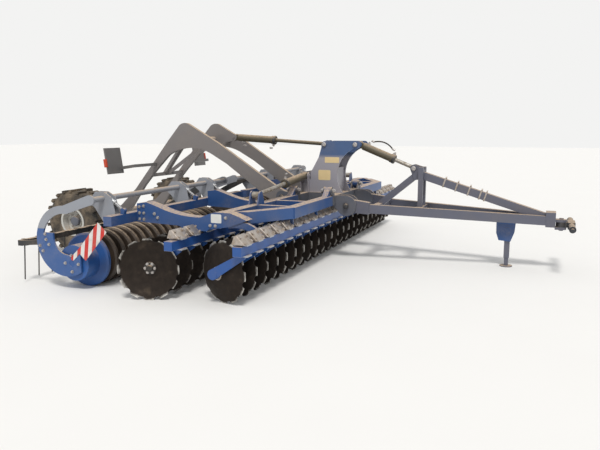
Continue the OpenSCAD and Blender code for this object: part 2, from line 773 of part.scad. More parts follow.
function arm_y(row, side, i) = (side > 0 ? 0 : -row_discs * disc_pitch) + rows[row][1] + i * disc_pitch;

// Frame of a disc: its hollow side looks along +Z and its rim lies at height 0
module at_disc(row, side, i) {
  look = rows[row][2];
  translate([rows[row][0] - disc_trail, arm_y(row, side, i) + look * disc_side, disc_z])
    rotate([0, 0, -look * disc_angle]) rotate([-look * 90, 0, 0]) children();
}

module carrier(side, row) {
  x = rows[row][0];
  hub_x = x - disc_trail - disc_side * tan(disc_angle);
  color(blue) placed() {
    on_side(side) tube_across(x, row_beam_z, row_beam_w, row_beam_w, carrier_in, carrier_out);
    for (i = [0:row_discs - 1]) {
      y = arm_y(row, side, i);
      translate([x - clamp_l / 2, y - clamp_w / 2, row_top - 1])
        cube([clamp_l, clamp_w, clamp_t + clamp_lift + 1]);
      translate([x - row_beam_w / 2, y - clamp_w / 2, row_low - clamp_t])
        cube([row_beam_w / 2 + clamp_l / 2, clamp_w, clamp_t + 1]);
      plate_along(y, arm_t)
        link_outline([x - 5, row_low - 20], [hub_x, disc_z], arm_w / 2 - 8, arm_w / 2 + 10);
      at_disc(row, side, i) translate([0, 0, -disc_side / cos(disc_angle)])
        cylinder(r = disc_hub_r, h = disc_side / cos(disc_angle) - disc_dish - disc_wall);
    }
  }
}

disc_flat_r = 75;
dish_steps = 3;
notch_r = 40;
dish_rise = (disc_r * disc_r - disc_flat_r * disc_flat_r) / disc_dish;
dish_sphere = norm([(dish_rise + disc_dish) / 2, disc_flat_r]);
dish_centre = sqrt(dish_sphere * dish_sphere - disc_r * disc_r);
dish_radii = [for (i = [0:dish_steps]) disc_flat_r + (disc_r - disc_flat_r) * i / dish_steps];
function dish_z(r) = r == disc_flat_r ? -disc_dish : dish_centre - sqrt(dish_sphere * dish_sphere - r * r);

module notched_disc() {
  difference() {
    rotate_extrude() polygon(concat(
      [[0, -disc_dish]],
      [for (r = dish_radii) [r, dish_z(r)]],
      [for (i = [dish_steps:-1:0]) [dish_radii[i], dish_z(dish_radii[i]) - disc_wall]],
      [[0, -disc_dish - disc_wall]]));
    for (i = [0:disc_notches - 1])
      rotate(360 / disc_notches * (i + 0.5)) translate([disc_r + 14, 0, -disc_dish])
        cylinder(r = notch_r, h = 2 * disc_dish);
  }
}

module disc_row(side, row) {
  color(dark) placed() for (i = [0:row_discs - 1]) at_disc(row, side, i) notched_disc();
}

// Roller frame
arm_plate_t = 20;
arm_in_y = roller_inner_y - 32;
arm_out_y = roller_y + 12;
shaft = [-1700, 965];
shaft_r = 30;
bracket_y = [640, 1300, 2700];
bracket_t = 12;
ring_centre = [-2060, 520];
ring_out = 375;
ring_in = 290;
bearing = [roller_x, roller_r];
roller_shaft_r = 35;
spindle_top = [-1700, 1012];
spindle_foot = [-1468, 846];

module roller_tube(side) {
  color(blue) placed() on_side(side) {
    tube_across(rear_tube_x, rear_tube_z, rear_tube_w, rear_tube_w, 60, roller_y + 20);
    for (y = bracket_y) plate_along(y, 40) {
      translate(spindle_foot) circle(26);
      polygon([[rear_tube_x + 2, rear_tube_z + 45], [rear_tube_x + 48, rear_tube_z + 45],
        spindle_foot + [25, -5], spindle_foot + [-22, -14]]);
    }
  }
}

module bracket_outline() {
  polygon([[rear_tube_x - 50, rear_tube_z - 45], [rear_tube_x - 50, rear_tube_z + 70],
    [-1590, 985], [-1680, 1035],
    [-1790, 1035], [-1880, 925], [-1800, 860], [-1700, 720]]);
}

module arm_upper_outline() {
  polygon(concat(
    arc_through(ring_centre + [-ring_out, 0], ring_centre + [-265, 265], ring_centre + [0, ring_out], 10),
    [[shaft[0] - 20, shaft[1] + 52], [shaft[0], shaft[1] - 50]],
    arc_through(ring_centre + [40, ring_in], ring_centre + [-205, 205], ring_centre + [-ring_in, 0], 10)));
  translate(shaft) circle(52);
}

module arm_lower_outline() {
  eye = ring_centre + [40, 45];
  difference() {
    union() {
      intersection() {
        translate(ring_centre) circle(ring_out);
        translate([-2500, 100]) square([640, 500]);
      }
      translate(bearing) circle(110);
    }
    translate(eye) circle(190);
    polygon([eye, ring_centre + [300, -60], ring_centre + [300, 300], ring_centre + [0, 300]]);
  }
}

module roller_arms(side) {
  color(grey) placed() on_side(side) difference() {
    union() {
      for (y = [arm_in_y, arm_out_y]) plate_along(y + arm_plate_t / 2, arm_plate_t) {
        arm_upper_outline();
        arm_lower_outline();
      }
      round_across(shaft[0], shaft[1], shaft_r, arm_in_y, arm_out_y + arm_plate_t);
      for (y = bracket_y) {
        for (s = [-1, 1]) plate_along(y + s * (28 + bracket_t / 2), bracket_t) bracket_outline();
        round_across(spindle_top[0], spindle_top[1], 18, y - 30, y + 30);
        round_bar([spindle_top[0], y, spindle_top[1]],
          [spindle_foot[0] - 22, y, spindle_foot[1] + 15.7], 14);
      }
    }
    round_across(bearing[0], bearing[1], roller_shaft_r + fit, 0, roller_y + 100);
  }
}

ring_count = floor((roller_y - roller_inner_y - 60) / ring_pitch);
roller_core_r = 190;
roller_wall = 12;
roller_end = 20;
roller_l = roller_y - roller_inner_y;
ring_profile = [
  // [radius, place along the roller]
  [roller_core_r, 0], [roller_r - 20, 12], [roller_r, 24],
  [roller_r, 56], [roller_r - 20, 68], [roller_core_r, 80]];

module roller(side) {
  color(blue) placed() on_side(side) translate([bearing[0], roller_inner_y, bearing[1]]) rotate([-90, 0, 0])
    difference() {
      rotate_extrude() polygon(concat(
        [[0, -30], [roller_shaft_r, -30], [roller_shaft_r, 0], [roller_core_r, 0]],
        [for (i = [0:ring_count - 1], p = ring_profile) [p[0], p[1] + 20 + i * ring_pitch]],
        [[roller_core_r, roller_l], [roller_shaft_r, roller_l],
          [roller_shaft_r, roller_l + 30], [0, roller_l + 30]]));
      translate([0, 0, roller_end]) cylinder(r = roller_core_r - roller_wall, h = roller_l - 2 * roller_end);
    }
}

// Striped warning board with its holder, beside the roller
warning_size = [423, 4, 141];
warning_tilt = 48;
warning_corner = [-1835, 385];
holder_t = 6;

module warning_board(side) {
  y = arm_out_y + arm_plate_t;
  color(red) placed() on_side(side) {
    translate([warning_corner[0], y + holder_t, warning_corner[1]]) rotate([0, -warning_tilt, 0])
      translate([0, 0, -warning_size[2] / 2]) cube(warning_size);
    plate_along(y + holder_t / 2, holder_t) link_outline(bearing + [20, 60], [-1650, 625], 24, 24);
  }
}

// Levelling bar behind the roller, held by an arm at each end
tine_r = 7;
tine_count = 12;
tine_pitch = 200;
harrow_w = 60;
harrow_x = axle_rest_x + tyre_r + harrow_gap + harrow_w / 2;
harrow_in = 560;
harrow_elbow = [-2400, 600];
harrow_arm_t = 20;

module levelling_bar(side) {
  color(black) placed() on_side(side) {
    tube_across(harrow_x, harrow_z, harrow_w, harrow_w, harrow_in, arm_out_y);
    plate_along(arm_out_y - harrow_arm_t / 2, harrow_arm_t)
      polygon([[harrow_x, harrow_z - 25], [-2380, harrow_z + 5], [-2380, harrow_z + 60],
        [harrow_x, harrow_z + 25]]);
    difference() {
      plate_along(harrow_in + harrow_arm_t / 2, harrow_arm_t) {
        link_outline(shaft, harrow_elbow, 52, 32);
        link_outline(harrow_elbow, [harrow_x, harrow_z], 32, 29);
      }
      round_across(shaft[0], shaft[1], shaft_r + fit, 0, roller_y);
    }
    for (i = [0:tine_count - 1]) let (y = harrow_in + 80 + i * tine_pitch) {
      translate([harrow_x - 36, y - 20, harrow_z - 36]) cube([72, 40, 72]);
      round_bar([harrow_x - 10, y, harrow_z - 20], [harrow_x - 40, y, 30], tine_r);
    }
  }
}

// Wing cylinders, seen along the machine
module at_wing_cylinder(side) {
  placed() on_side(side) translate([mid_tube_x, wing_cyl_root[0], wing_cyl_root[1]])
    rotate([wing_cyl_angle, 0, 0]) rotate([0, 0, 90]) children();
}

module wing_barrel(side) {
  color(olive) at_wing_cylinder(side) cylinder_barrel(wing_barrel_l);
}

module wing_rod(side) {
  color(silver) at_wing_cylinder(side) cylinder_rod(wing_rod_from, wing_cyl_l);
}

tower();
main_frame();
drawbar_beams(1);  // drawbar_beams_left
drawbar_beams(-1);  // drawbar_beams_right
drawbar_truss();
jack_bracket();
hitch_head();
jack_leg();
drawbar_barrel();
drawbar_rod();
arch(1);  // arch_left
arch(-1);  // arch_right
arch_bracing();
axle();
light_boards();
rim(1);  // rim_left
rim(-1);  // rim_right
tyre(1);  // tyre_left
tyre(-1);  // tyre_right
axle_barrel();
axle_rod();
wing_frame(1);  // wing_frame_left
wing_frame(-1);  // wing_frame_right
wing_side(1);  // wing_side_left
wing_side(-1);  // wing_side_right
carrier(1, front);  // front_carrier_left
carrier(-1, front);  // front_carrier_right
disc_row(1, front);  // front_discs_left
disc_row(-1, front);  // front_discs_right
carrier(1, rear);  // rear_carrier_left
carrier(-1, rear);  // rear_carrier_right
disc_row(1, rear);  // rear_discs_left
disc_row(-1, rear);  // rear_discs_right
roller_tube(1);  // roller_tube_left
roller_tube(-1);  // roller_tube_right
roller_arms(1);  // roller_arms_left
roller_arms(-1);  // roller_arms_right
warning_board(1);  // warning_board_left
warning_board(-1);  // warning_board_right
levelling_bar(1);  // levelling_bar_left
levelling_bar(-1);  // levelling_bar_right
wing_barrel(1);  // wing_barrel_left
wing_barrel(-1);  // wing_barrel_right
wing_rod(1);  // wing_rod_left
wing_rod(-1);  // wing_rod_right
roller(1);  // roller_left
roller(-1);  // roller_right
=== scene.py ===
# %% [markdown]
# # A folding disc harrow
# The machine is towed: two wings with two rows of notched discs each, a ring roller behind them,
# a tower and a truss drawbar in front, and two wheels on tall arched arms.
# The steel shapes come from the frame. This script gives them their finishes and adds
# what is bolted, plugged or stuck on.

# %% Load the frame
import json
import math

import bpy
from mathutils import Matrix, Vector


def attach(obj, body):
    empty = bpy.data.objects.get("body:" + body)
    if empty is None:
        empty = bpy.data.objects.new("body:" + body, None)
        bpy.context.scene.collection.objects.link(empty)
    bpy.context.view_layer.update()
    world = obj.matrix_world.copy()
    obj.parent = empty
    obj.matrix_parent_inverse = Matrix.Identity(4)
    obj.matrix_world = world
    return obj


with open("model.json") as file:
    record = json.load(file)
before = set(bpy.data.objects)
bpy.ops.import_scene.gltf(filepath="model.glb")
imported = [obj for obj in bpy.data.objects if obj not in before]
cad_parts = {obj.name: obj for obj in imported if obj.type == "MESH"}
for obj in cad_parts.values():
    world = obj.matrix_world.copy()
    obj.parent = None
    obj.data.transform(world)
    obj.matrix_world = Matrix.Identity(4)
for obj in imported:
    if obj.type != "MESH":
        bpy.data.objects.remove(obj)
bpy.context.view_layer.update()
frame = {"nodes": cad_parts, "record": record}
nodes = frame["nodes"]

# %% [markdown]
# ## The machine's own zero
# Sizes on a drawing of this machine are counted from the front disc carrier, the middle line and
# the floor. The frame's origin is the middle of its box, so one vector carries a drawing place
# over to it. It comes from the two lower link pins, whose places the frame's record states.

# %% Drawing places in millimetres
HITCH_X = 2885
SIDES = {"left": 1, "right": -1}


def mm(value):
    return value / 1000


link_pins = [Vector(m["pos_m"]) for m in frame["record"]["mounts"]]
machine_zero = (link_pins[0] + link_pins[1]) / 2 - Vector((mm(HITCH_X), 0, 0))
machine_zero.z = 0


def place(x, y, z):
    """A point of the drawing, in the frame."""
    return machine_zero + Vector((mm(x), mm(y), mm(z)))


print("machine zero at", tuple(round(v, 4) for v in machine_zero))

# %% [markdown]
# ## The camera
# The view is that of someone who stands beside the drawbar. The lens could be set by eye, but its
# length and the height of the eye were measured, so they are plain values here.

# %% Camera
CAMERA_PITCH = 8.857
CAMERA_YAW = 21.972
CAMERA_EYE = (2532, -7731, 1655)
SENSOR_MM = 36
LENS_MM = 36
camera_data = bpy.data.cameras.new("view")
camera_data.sensor_width = SENSOR_MM
camera_data.lens = LENS_MM
camera = bpy.data.objects.new("view", camera_data)
bpy.context.scene.collection.objects.link(camera)
camera.location = place(*CAMERA_EYE)
camera.rotation_euler = (math.radians(90 - CAMERA_PITCH), 0, math.radians(CAMERA_YAW))
bpy.context.scene.camera = camera
print("camera at", tuple(round(v, 3) for v in camera.location))

# %% [markdown]
# ## Colours and shader nodes
# Colours are written as sRGB hex values, as on a paint card, and one function turns them to the
# linear values that a shader needs. One more function adds a shader node with its settings and
# links, so that each finish below reads as a short list of steps.


# %% Colour and node helpers
def srgb(code):
    """Linear colour of an sRGB hex value."""
    channels = [int(code[i:i + 2], 16) / 255 for i in (1, 3, 5)]
    return [c / 12.92 if c <= 0.04045 else ((c + 0.055) / 1.055) ** 2.4 for c in channels] + [1]


def darker(code, amount):
    """A hex colour with its channels scaled."""
    channels = [min(255, int(int(code[i:i + 2], 16) * amount)) for i in (1, 3, 5)]
    return "#%02x%02x%02x" % tuple(channels)


def node(tree, kind, inputs=None, out=0, **settings):
    """Adds a shader node, fills or links its inputs and returns one of its outputs."""
    made = tree.nodes.new("ShaderNode" + kind)
    for name, value in settings.items():
        setattr(made, name, value)
    for socket, value in (inputs or {}).items():
        if isinstance(value, bpy.types.NodeSocket):
            tree.links.new(value, made.inputs[socket])
        else:
            made.inputs[socket].default_value = value
    return made.outputs[out]


def new_material(name, slot, colour, metallic, roughness):
    """A material with its constants on the shader, its tree and its piece's own coordinates."""
    material = bpy.data.materials.new(name)
    material["slot"] = slot
    material.use_nodes = True
    tree = material.node_tree
    shader = tree.nodes["Principled BSDF"]
    shader.inputs["Base Color"].default_value = srgb(colour)
    shader.inputs["Metallic"].default_value = metallic
    shader.inputs["Roughness"].default_value = roughness
    return material, tree, shader, node(tree, "TexCoord", out="Object")


# A Mix node that mixes colours gives them at its third output
COLOURS = {"out": 2, "data_type": "RGBA"}


def film_mask(tree, here, size, low, high, most):
    """Where a film of dust or oil lies, in soft clouds of a size in millimetres."""
    cloud = node(tree, "TexNoise", {"Vector": here, "Scale": 1 / mm(size), "Detail": 5.0})
    laid = {"Value": cloud, "From Min": low, "From Max": high, "To Max": most}
    return node(tree, "MapRange", laid)


# %% [markdown]
# ## Enamel under field dust
# The frame is welded steel with sprayed and baked enamel. In the field, straw dust settles on
# whatever looks up and clings to the rest in blotches. Dust could be a second shell of geometry,
# but it is thinner than a hair, so it is a colour over the enamel: a mask from the upward slope of
# the surface, broken up by noise. The paint keeps a soft gloss and the dust takes it away.

# %% Enamel
STRAW_DUST = "#9c8b78"
SETTLED_DUST = "#bda68c"
BARE_STEEL = "#4b4a49"
BLOTCH_MM = 260
SPECK_MM = 22
CHIP_MM = 9
CHIP_EDGE = (0.735, 0.77)
DEEP_SHADE = 0.72
PAINT_ROUGHNESS = 0.4
DUST_ROUGHNESS = 0.92


def dusty_enamel(name, slot, colour, dust, dust_colour=STRAW_DUST, second=None, bands=(), axis=2):
    """Sprayed enamel under dust. Within each band along the axis the second colour shows. A band
    is its low end, its high end and the blur of its edges, in millimetres of the frame."""
    material, tree, shader, here = new_material(name, slot, colour, 0.0, PAINT_ROUGHNESS)
    blotch = node(tree, "TexNoise", {"Vector": here, "Scale": 1 / mm(BLOTCH_MM), "Detail": 4.0})
    speck = node(tree, "TexNoise", {"Vector": here, "Scale": 1 / mm(SPECK_MM), "Detail": 5.0})
    half = node(tree, "Math", {0: blotch, 1: 0.5}, operation="MULTIPLY")
    deep = srgb(darker(colour, DEEP_SHADE))
    paint = node(tree, "Mix", {0: half, 6: srgb(colour), 7: deep}, **COLOURS)
    for low, high, blur in bands:
        height = node(tree, "SeparateXYZ", {0: here}, out=axis)
        rising = {"Value": height, "From Min": mm(low - blur), "From Max": mm(low + blur)}
        falling = {"Value": height, "From Min": mm(high + blur), "From Max": mm(high - blur)}
        above = node(tree, "MapRange", rising)
        under = node(tree, "MapRange", falling)
        within = node(tree, "Math", {0: above, 1: under}, operation="MULTIPLY")
        paint = node(tree, "Mix", {0: within, 6: paint, 7: srgb(second)}, **COLOURS)
    chips = node(tree, "TexNoise", {"Vector": here, "Scale": 1 / mm(CHIP_MM), "Detail": 2.0})
    chipped = {"Value": chips, "From Min": CHIP_EDGE[0], "From Max": CHIP_EDGE[1]}
    bare = node(tree, "MapRange", chipped)
    paint = node(tree, "Mix", {0: bare, 6: paint, 7: srgb(BARE_STEEL)}, **COLOURS)
    facing = node(tree, "SeparateXYZ", {0: node(tree, "TexCoord", out="Normal")}, out=2)
    settled = {"Value": facing, "From Min": 0.15, "From Max": 0.9, "To Max": 0.75 + 0.5 * dust}
    clinging = {"Value": blotch, "From Min": 0.6 - 0.35 * dust, "From Max": 0.95, "To Max": dust}
    top = node(tree, "MapRange", settled)
    sides = node(tree, "MapRange", clinging)
    both = node(tree, "Math", {0: top, 1: sides}, operation="ADD")
    grain = node(tree, "MapRange", {"Value": speck, "From Min": 0.18, "From Max": 0.62})
    film = node(tree, "Math", {0: both, 1: grain}, operation="MULTIPLY", use_clamp=True)
    shades = {0: top, 6: srgb(dust_colour), 7: srgb(SETTLED_DUST)}
    powder = node(tree, "Mix", shades, **COLOURS)
    finish = node(tree, "Mix", {0: film, 6: paint, 7: powder}, **COLOURS)
    tree.links.new(finish, shader.inputs["Base Color"])
    dulled = {"Value": film, "From Max": 0.8, "To Min": PAINT_ROUGHNESS, "To Max": DUST_ROUGHNESS}
    rough = node(tree, "MapRange", dulled)
    tree.links.new(rough, shader.inputs["Roughness"])
    bump = node(tree, "Bump", {"Height": speck, "Distance": mm(0.5), "Strength": 0.6})
    tree.links.new(bump, shader.inputs["Normal"])
    return material


blue_enamel = dusty_enamel("blue_enamel", "blue_paint", "#2d5289", 0.46, "#96897b")
carrier_enamel = dusty_enamel("carrier_blue_enamel", "blue_paint", "#27559a", 0.25,
                              second="#a9abae", bands=[(512, 526, 0.4), (616, 660, 0.4)])
grey_enamel = dusty_enamel("grey_enamel", "grey_paint", "#5f626b", 0.45, "#8a8078")
arch_enamel = dusty_enamel("arch_grey_enamel", "grey_paint", "#817c7b", 0.55, "#9b9187")
drawbar_enamel = dusty_enamel("drawbar_grey_enamel", "grey_paint", "#626472", 0.42, "#8b8077")
tower_enamel = dusty_enamel("tower_enamel", "blue_paint", "#455f89", 0.4, "#9d9186",
                            second="#94929a", bands=[(700, 1330, 25)])
arm_enamel = dusty_enamel("roller_arm_enamel", "grey_paint", "#979ba3", 0.4, "#a59b8f",
                          second="#35588f", bands=[(0, 640, 4)])
board_enamel = dusty_enamel("board_enamel", "dark_paint", "#6f6d6c", 0.4)
dark_enamel = dusty_enamel("dark_enamel", "dark_paint", "#34373c", 0.35)
bar_enamel = dusty_enamel("levelling_bar_enamel", "dark_paint", "#26282b", 0.45)
roller_enamel = dusty_enamel("roller_enamel", "blue_paint", "#2a5899", 0.4, "#5b4c3e",
                             second="#41372e", bands=[(-2692, 2627, 8)], axis=1)
cylinder_enamel = dusty_enamel("cylinder_enamel", "dusty_cylinder", "#57503f", 0.35, "#7d7059")
rim_enamel = dusty_enamel("rim_enamel", "rim_paint", "#c9c8c2", 0.5)
print("enamels made")

# %% [markdown]
# ## Disc steel
# A disc is boron steel, pressed hot and hardened. Soil wears its rim bright and leaves the middle
# dark with mill scale and baked dust. The wear runs round the disc, so the pattern is drawn in
# polar form: the distance from the row's axle line gives the bright rim, and noise squeezed along
# the radius and drawn out round the disc gives the scratches. All discs of a row share that line.

# %% Disc steel
ROW_GAP = 740
DISC_TRAIL = 275
DISC_SIDE = 130
DISC_R = 310
DISC_DISH = 72
DISC_ANGLE = math.radians(20)
SCRATCH_MM = 5
SCRATCH_STRETCH = 0.03
PATCH_MM = 70
BAKED_DUST_MM = 120
WORN_EDGE = (315, 338)
EDGE_WANDER = 50
# Each row's place along the machine, its first arm left of the middle and the way its hollows look
ROWS = {"front": {"x": 0, "first": 125, "look": 1},
        "rear": {"x": -ROW_GAP, "first": 190, "look": -1}}


def worn_disc_steel(row):
    """Steel with a bright rim and scratches that run round the axle line of a row."""
    name = f"disc_steel_{row}"
    material, tree, shader, here = new_material(name, "disc_steel", "#3b3733", 0.85, 0.45)
    axle = place(ROWS[row]["x"] - DISC_TRAIL, 0, DISC_R)
    x, y, z = (node(tree, "SeparateXYZ", {0: here}, out=i) for i in range(3))
    ahead = node(tree, "Math", {0: x, 1: axle.x}, operation="SUBTRACT")
    along = node(tree, "Math", {0: ahead, 1: math.cos(DISC_ANGLE)}, operation="DIVIDE")
    height = node(tree, "Math", {0: z, 1: axle.z}, operation="SUBTRACT")
    flat = node(tree, "CombineXYZ", {0: along, 1: height})
    radius = node(tree, "VectorMath", {0: flat}, out="Value", operation="LENGTH")
    turn = node(tree, "Math", {0: height, 1: along}, operation="ARCTAN2")
    drawn_out = node(tree, "Math", {0: turn, 1: SCRATCH_STRETCH}, operation="MULTIPLY")
    polar = node(tree, "CombineXYZ", {0: radius, 1: drawn_out, 2: y})
    scratch = node(tree, "TexNoise", {"Vector": polar, "Scale": 1 / mm(SCRATCH_MM), "Detail": 3.0})
    patch = node(tree, "TexNoise", {"Vector": here, "Scale": 1 / mm(PATCH_MM), "Detail": 4.0})
    shifted = {0: patch, 1: mm(EDGE_WANDER), 2: radius}
    wander = node(tree, "Math", shifted, operation="MULTIPLY_ADD")
    worn_from = {"Value": wander, "From Min": mm(WORN_EDGE[0]), "From Max": mm(WORN_EDGE[1])}
    rim = node(tree, "MapRange", worn_from)
    score = node(tree, "MapRange", {"Value": scratch, "From Min": 0.2, "From Max": 0.6})
    worn = node(tree, "Math", {0: rim, 1: score}, operation="MULTIPLY", use_clamp=True)
    browns = {0: patch, 6: srgb("#231f1d"), 7: srgb("#3f3731")}
    scale = node(tree, "Mix", browns, **COLOURS)
    steel = node(tree, "Mix", {0: worn, 6: scale, 7: srgb("#d8d5cf")}, **COLOURS)
    dust = film_mask(tree, here, BAKED_DUST_MM, low=0.58, high=0.8, most=0.35)
    dusted = node(tree, "Mix", {0: dust, 6: steel, 7: srgb("#6b5e50")}, **COLOURS)
    tree.links.new(dusted, shader.inputs["Base Color"])
    rough = node(tree, "MapRange", {"Value": worn, "To Min": 0.62, "To Max": 0.3})
    tree.links.new(rough, shader.inputs["Roughness"])
    bump = node(tree, "Bump", {"Height": scratch, "Distance": mm(0.25), "Strength": 0.5})
    tree.links.new(bump, shader.inputs["Normal"])
    return material


disc_steels = {row: worn_disc_steel(row) for row in ROWS}
print("disc steels made for", list(ROWS))

# %% [markdown]
# ## Zinc, chrome and cast iron
# Clamp hoods, bolts and spindles are dipped in molten zinc, which freezes in crystals that glint
# unevenly. One even grey would look like plastic, so cells of noise vary its shade and its gloss.
# A piston rod is ground and hard chromed. A mirror finish would be right for a new one, but the
# rods of a parked machine carry a film of oil and dust, which dulls them to a light grey. The hubs
# are cast iron under dark enamel.

# %% Plated and cast metals
CRYSTAL_MM = 14
CRYSTAL_SHARE = 0.35
CRYSTAL_SHADE = 0.78
ZINC_DUST_MM = 45
RIPPLE_MM = 6
OIL_FILM_MM = 60
CHROME_GREY = "#aeaba6"


def hot_dip_zinc(name, colour, dust):
    """Zinc in crystals under a broken film of dust."""
    material, tree, shader, here = new_material(name, "rim_paint", colour, 0.75, 0.42)
    crystals = node(tree, "TexVoronoi", {"Vector": here, "Scale": 1 / mm(CRYSTAL_MM)}, out="Color")
    grain = node(tree, "SeparateXYZ", {0: crystals})
    film = film_mask(tree, here, ZINC_DUST_MM, low=0.42, high=0.7, most=dust)
    share = node(tree, "Math", {0: grain, 1: CRYSTAL_SHARE}, operation="MULTIPLY")
    dull = srgb(darker(colour, CRYSTAL_SHADE))
    plated = node(tree, "Mix", {0: share, 6: srgb(colour), 7: dull}, **COLOURS)
    dusted = node(tree, "Mix", {0: film, 6: plated, 7: srgb(STRAW_DUST)}, **COLOURS)
    tree.links.new(dusted, shader.inputs["Base Color"])
    rough = node(tree, "MapRange", {"Value": grain, "To Min": 0.34, "To Max": 0.52})
    tree.links.new(rough, shader.inputs["Roughness"])
    ripple = node(tree, "TexNoise", {"Vector": here, "Scale": 1 / mm(RIPPLE_MM), "Detail": 3.0})
    bump = node(tree, "Bump", {"Height": ripple, "Distance": mm(0.2), "Strength": 0.4})
    tree.links.new(bump, shader.inputs["Normal"])
    return material


def hard_chrome():
    """Chrome dulled by a film of oil and dust."""
    material, tree, shader, here = new_material("hard_chrome", "bright_rod", CHROME_GREY, 0.45, 0.4)
    film = film_mask(tree, here, OIL_FILM_MM, low=0.3, high=0.6, most=0.9)
    filmed = {0: film, 6: srgb(CHROME_GREY), 7: srgb("#857a69")}
    tree.links.new(node(tree, "Mix", filmed, **COLOURS), shader.inputs["Base Color"])
    dulled = node(tree, "MapRange", {"Value": film, "To Min": 0.28, "To Max": 0.6})
    tree.links.new(dulled, shader.inputs["Roughness"])
    return material


zinc = hot_dip_zinc("hot_dip_zinc", "#b9b5b3", 0.35)
hood_zinc = hot_dip_zinc("dusty_hood_zinc", "#bdb4ac", 0.75)
cast_iron = dusty_enamel("cast_hub_iron", "dark_paint", "#2b2825", 0.5, "#6b5e50")
spindle_zinc = hot_dip_zinc("spindle_zinc", "#c6c8ca", 0.15)
chrome = hard_chrome()
print("plated and cast metals made")

# %% [markdown]
# ## Rubber, plastic and vinyl
# Tyres and the hose are rubber with carbon black, moulded matt, and dust clings to it. Two noises
# lay the dust, a broad one for where it lies and a fine one for its grain. The lamps' lenses are
# red and orange acrylic, moulded glossy, and the labels are vinyl film. Sun fades both a little.

# %% Rubber and plastics
RUBBER_DUST = "#8d7c66"
RUBBER_DUST_MM = 120
RUBBER_GRAIN_MM = 8
FADE_MM = 40
FADE_SHARE = 0.3
FADE_SHADE = 0.8


def moulded_rubber(name, slot, colour, dust):
    """Matt rubber with dust on it."""
    material, tree, shader, here = new_material(name, slot, colour, 0.0, 0.75)
    cover = film_mask(tree, here, RUBBER_DUST_MM, low=0.3, high=0.75, most=dust)
    grain = node(tree, "TexNoise", {"Vector": here, "Scale": 1 / mm(RUBBER_GRAIN_MM), "Detail": 4.0})
    fine = node(tree, "MapRange", {"Value": grain, "From Min": 0.15, "From Max": 0.6})
    film = node(tree, "Math", {0: cover, 1: fine}, operation="MULTIPLY", use_clamp=True)
    shades = {0: film, 6: srgb(colour), 7: srgb(RUBBER_DUST)}
    dusted = node(tree, "Mix", shades, **COLOURS)
    tree.links.new(dusted, shader.inputs["Base Color"])
    bump = node(tree, "Bump", {"Height": grain, "Distance": mm(0.6), "Strength": 0.5})
    tree.links.new(bump, shader.inputs["Normal"])
    return material


def moulded_plastic(name, slot, colour, roughness):
    """Plastic or film whose colour varies a little."""
    material, tree, shader, here = new_material(name, slot, colour, 0.0, roughness)
    cloud = node(tree, "TexNoise", {"Vector": here, "Scale": 1 / mm(FADE_MM), "Detail": 4.0})
    share = node(tree, "Math", {0: cloud, 1: FADE_SHARE}, operation="MULTIPLY")
    aged = srgb(darker(colour, FADE_SHADE))
    faded = node(tree, "Mix", {0: share, 6: srgb(colour), 7: aged}, **COLOURS)
    tree.links.new(faded, shader.inputs["Base Color"])
    return material


tyre_rubber = moulded_rubber("tyre_rubber", "tyre", "#1d1c1b", 0.9)
hose_rubber = moulded_rubber("hose_rubber", "tyre", "#151515", 0.35)
red_lens = moulded_plastic("acrylic_lens", "warning_stripes", "#9c1712", 0.22)
orange_lens = moulded_plastic("orange_acrylic_lens", "warning_stripes", "#c4421f", 0.25)
white_vinyl = moulded_plastic("white_vinyl", "rim_paint", "#dcdcd8", 0.4)
yellow_vinyl = moulded_plastic("yellow_vinyl", "rim_paint", "#dfc795", 0.45)
print("rubber and plastics made")

# %% [markdown]
# ## The striped warning board
# The board is sheet steel with reflective film in red and white stripes. The stripes could be cut
# as strips of geometry, but film has no thickness that shows, so they are a stepped wave across
# the board's own slope.

# %% Warning stripes
STRIPE_MM = 94
STRIPE_TURN = math.radians(-8)
STRIPE_RED = "#c4281e"
STRIPE_WHITE = "#d9d8d4"
STRIPE_EDGE = (0.245, 0.255)
BOARD_DUST_MM = 50


def reflective_film():
    """Red and white stripes across the board's slope, under a little dust."""
    name = "reflective_film"
    material, tree, shader, here = new_material(name, "warning_stripes", STRIPE_RED, 0.0, 0.35)
    turned_way = node(tree, "Mapping", {"Vector": here, "Rotation": (0, STRIPE_TURN, 0)})
    across = node(tree, "SeparateXYZ", {0: turned_way})
    counted = node(tree, "Math", {0: across, 1: mm(STRIPE_MM)}, operation="DIVIDE")
    phase = node(tree, "Math", {0: counted}, operation="FRACT")
    middle = node(tree, "Math", {0: phase, 1: 0.5}, operation="SUBTRACT")
    away = node(tree, "Math", {0: middle}, operation="ABSOLUTE")
    stepped = {"Value": away, "From Min": STRIPE_EDGE[0], "From Max": STRIPE_EDGE[1]}
    white = node(tree, "MapRange", stepped)
    both = {0: white, 6: srgb(STRIPE_RED), 7: srgb(STRIPE_WHITE)}
    film = node(tree, "Mix", both, **COLOURS)
    dust = film_mask(tree, here, BOARD_DUST_MM, low=0.45, high=0.75, most=0.35)
    dusted = node(tree, "Mix", {0: dust, 6: film, 7: srgb(STRAW_DUST)}, **COLOURS)
    tree.links.new(dusted, shader.inputs["Base Color"])
    return material


striped_film = reflective_film()
print("striped film made")

# %% [markdown]
# ## Dressing the frame's own pieces
# Each steel piece keeps its shape and gets its finish by name. A left and a right piece share one
# finish, so the table names the piece once.

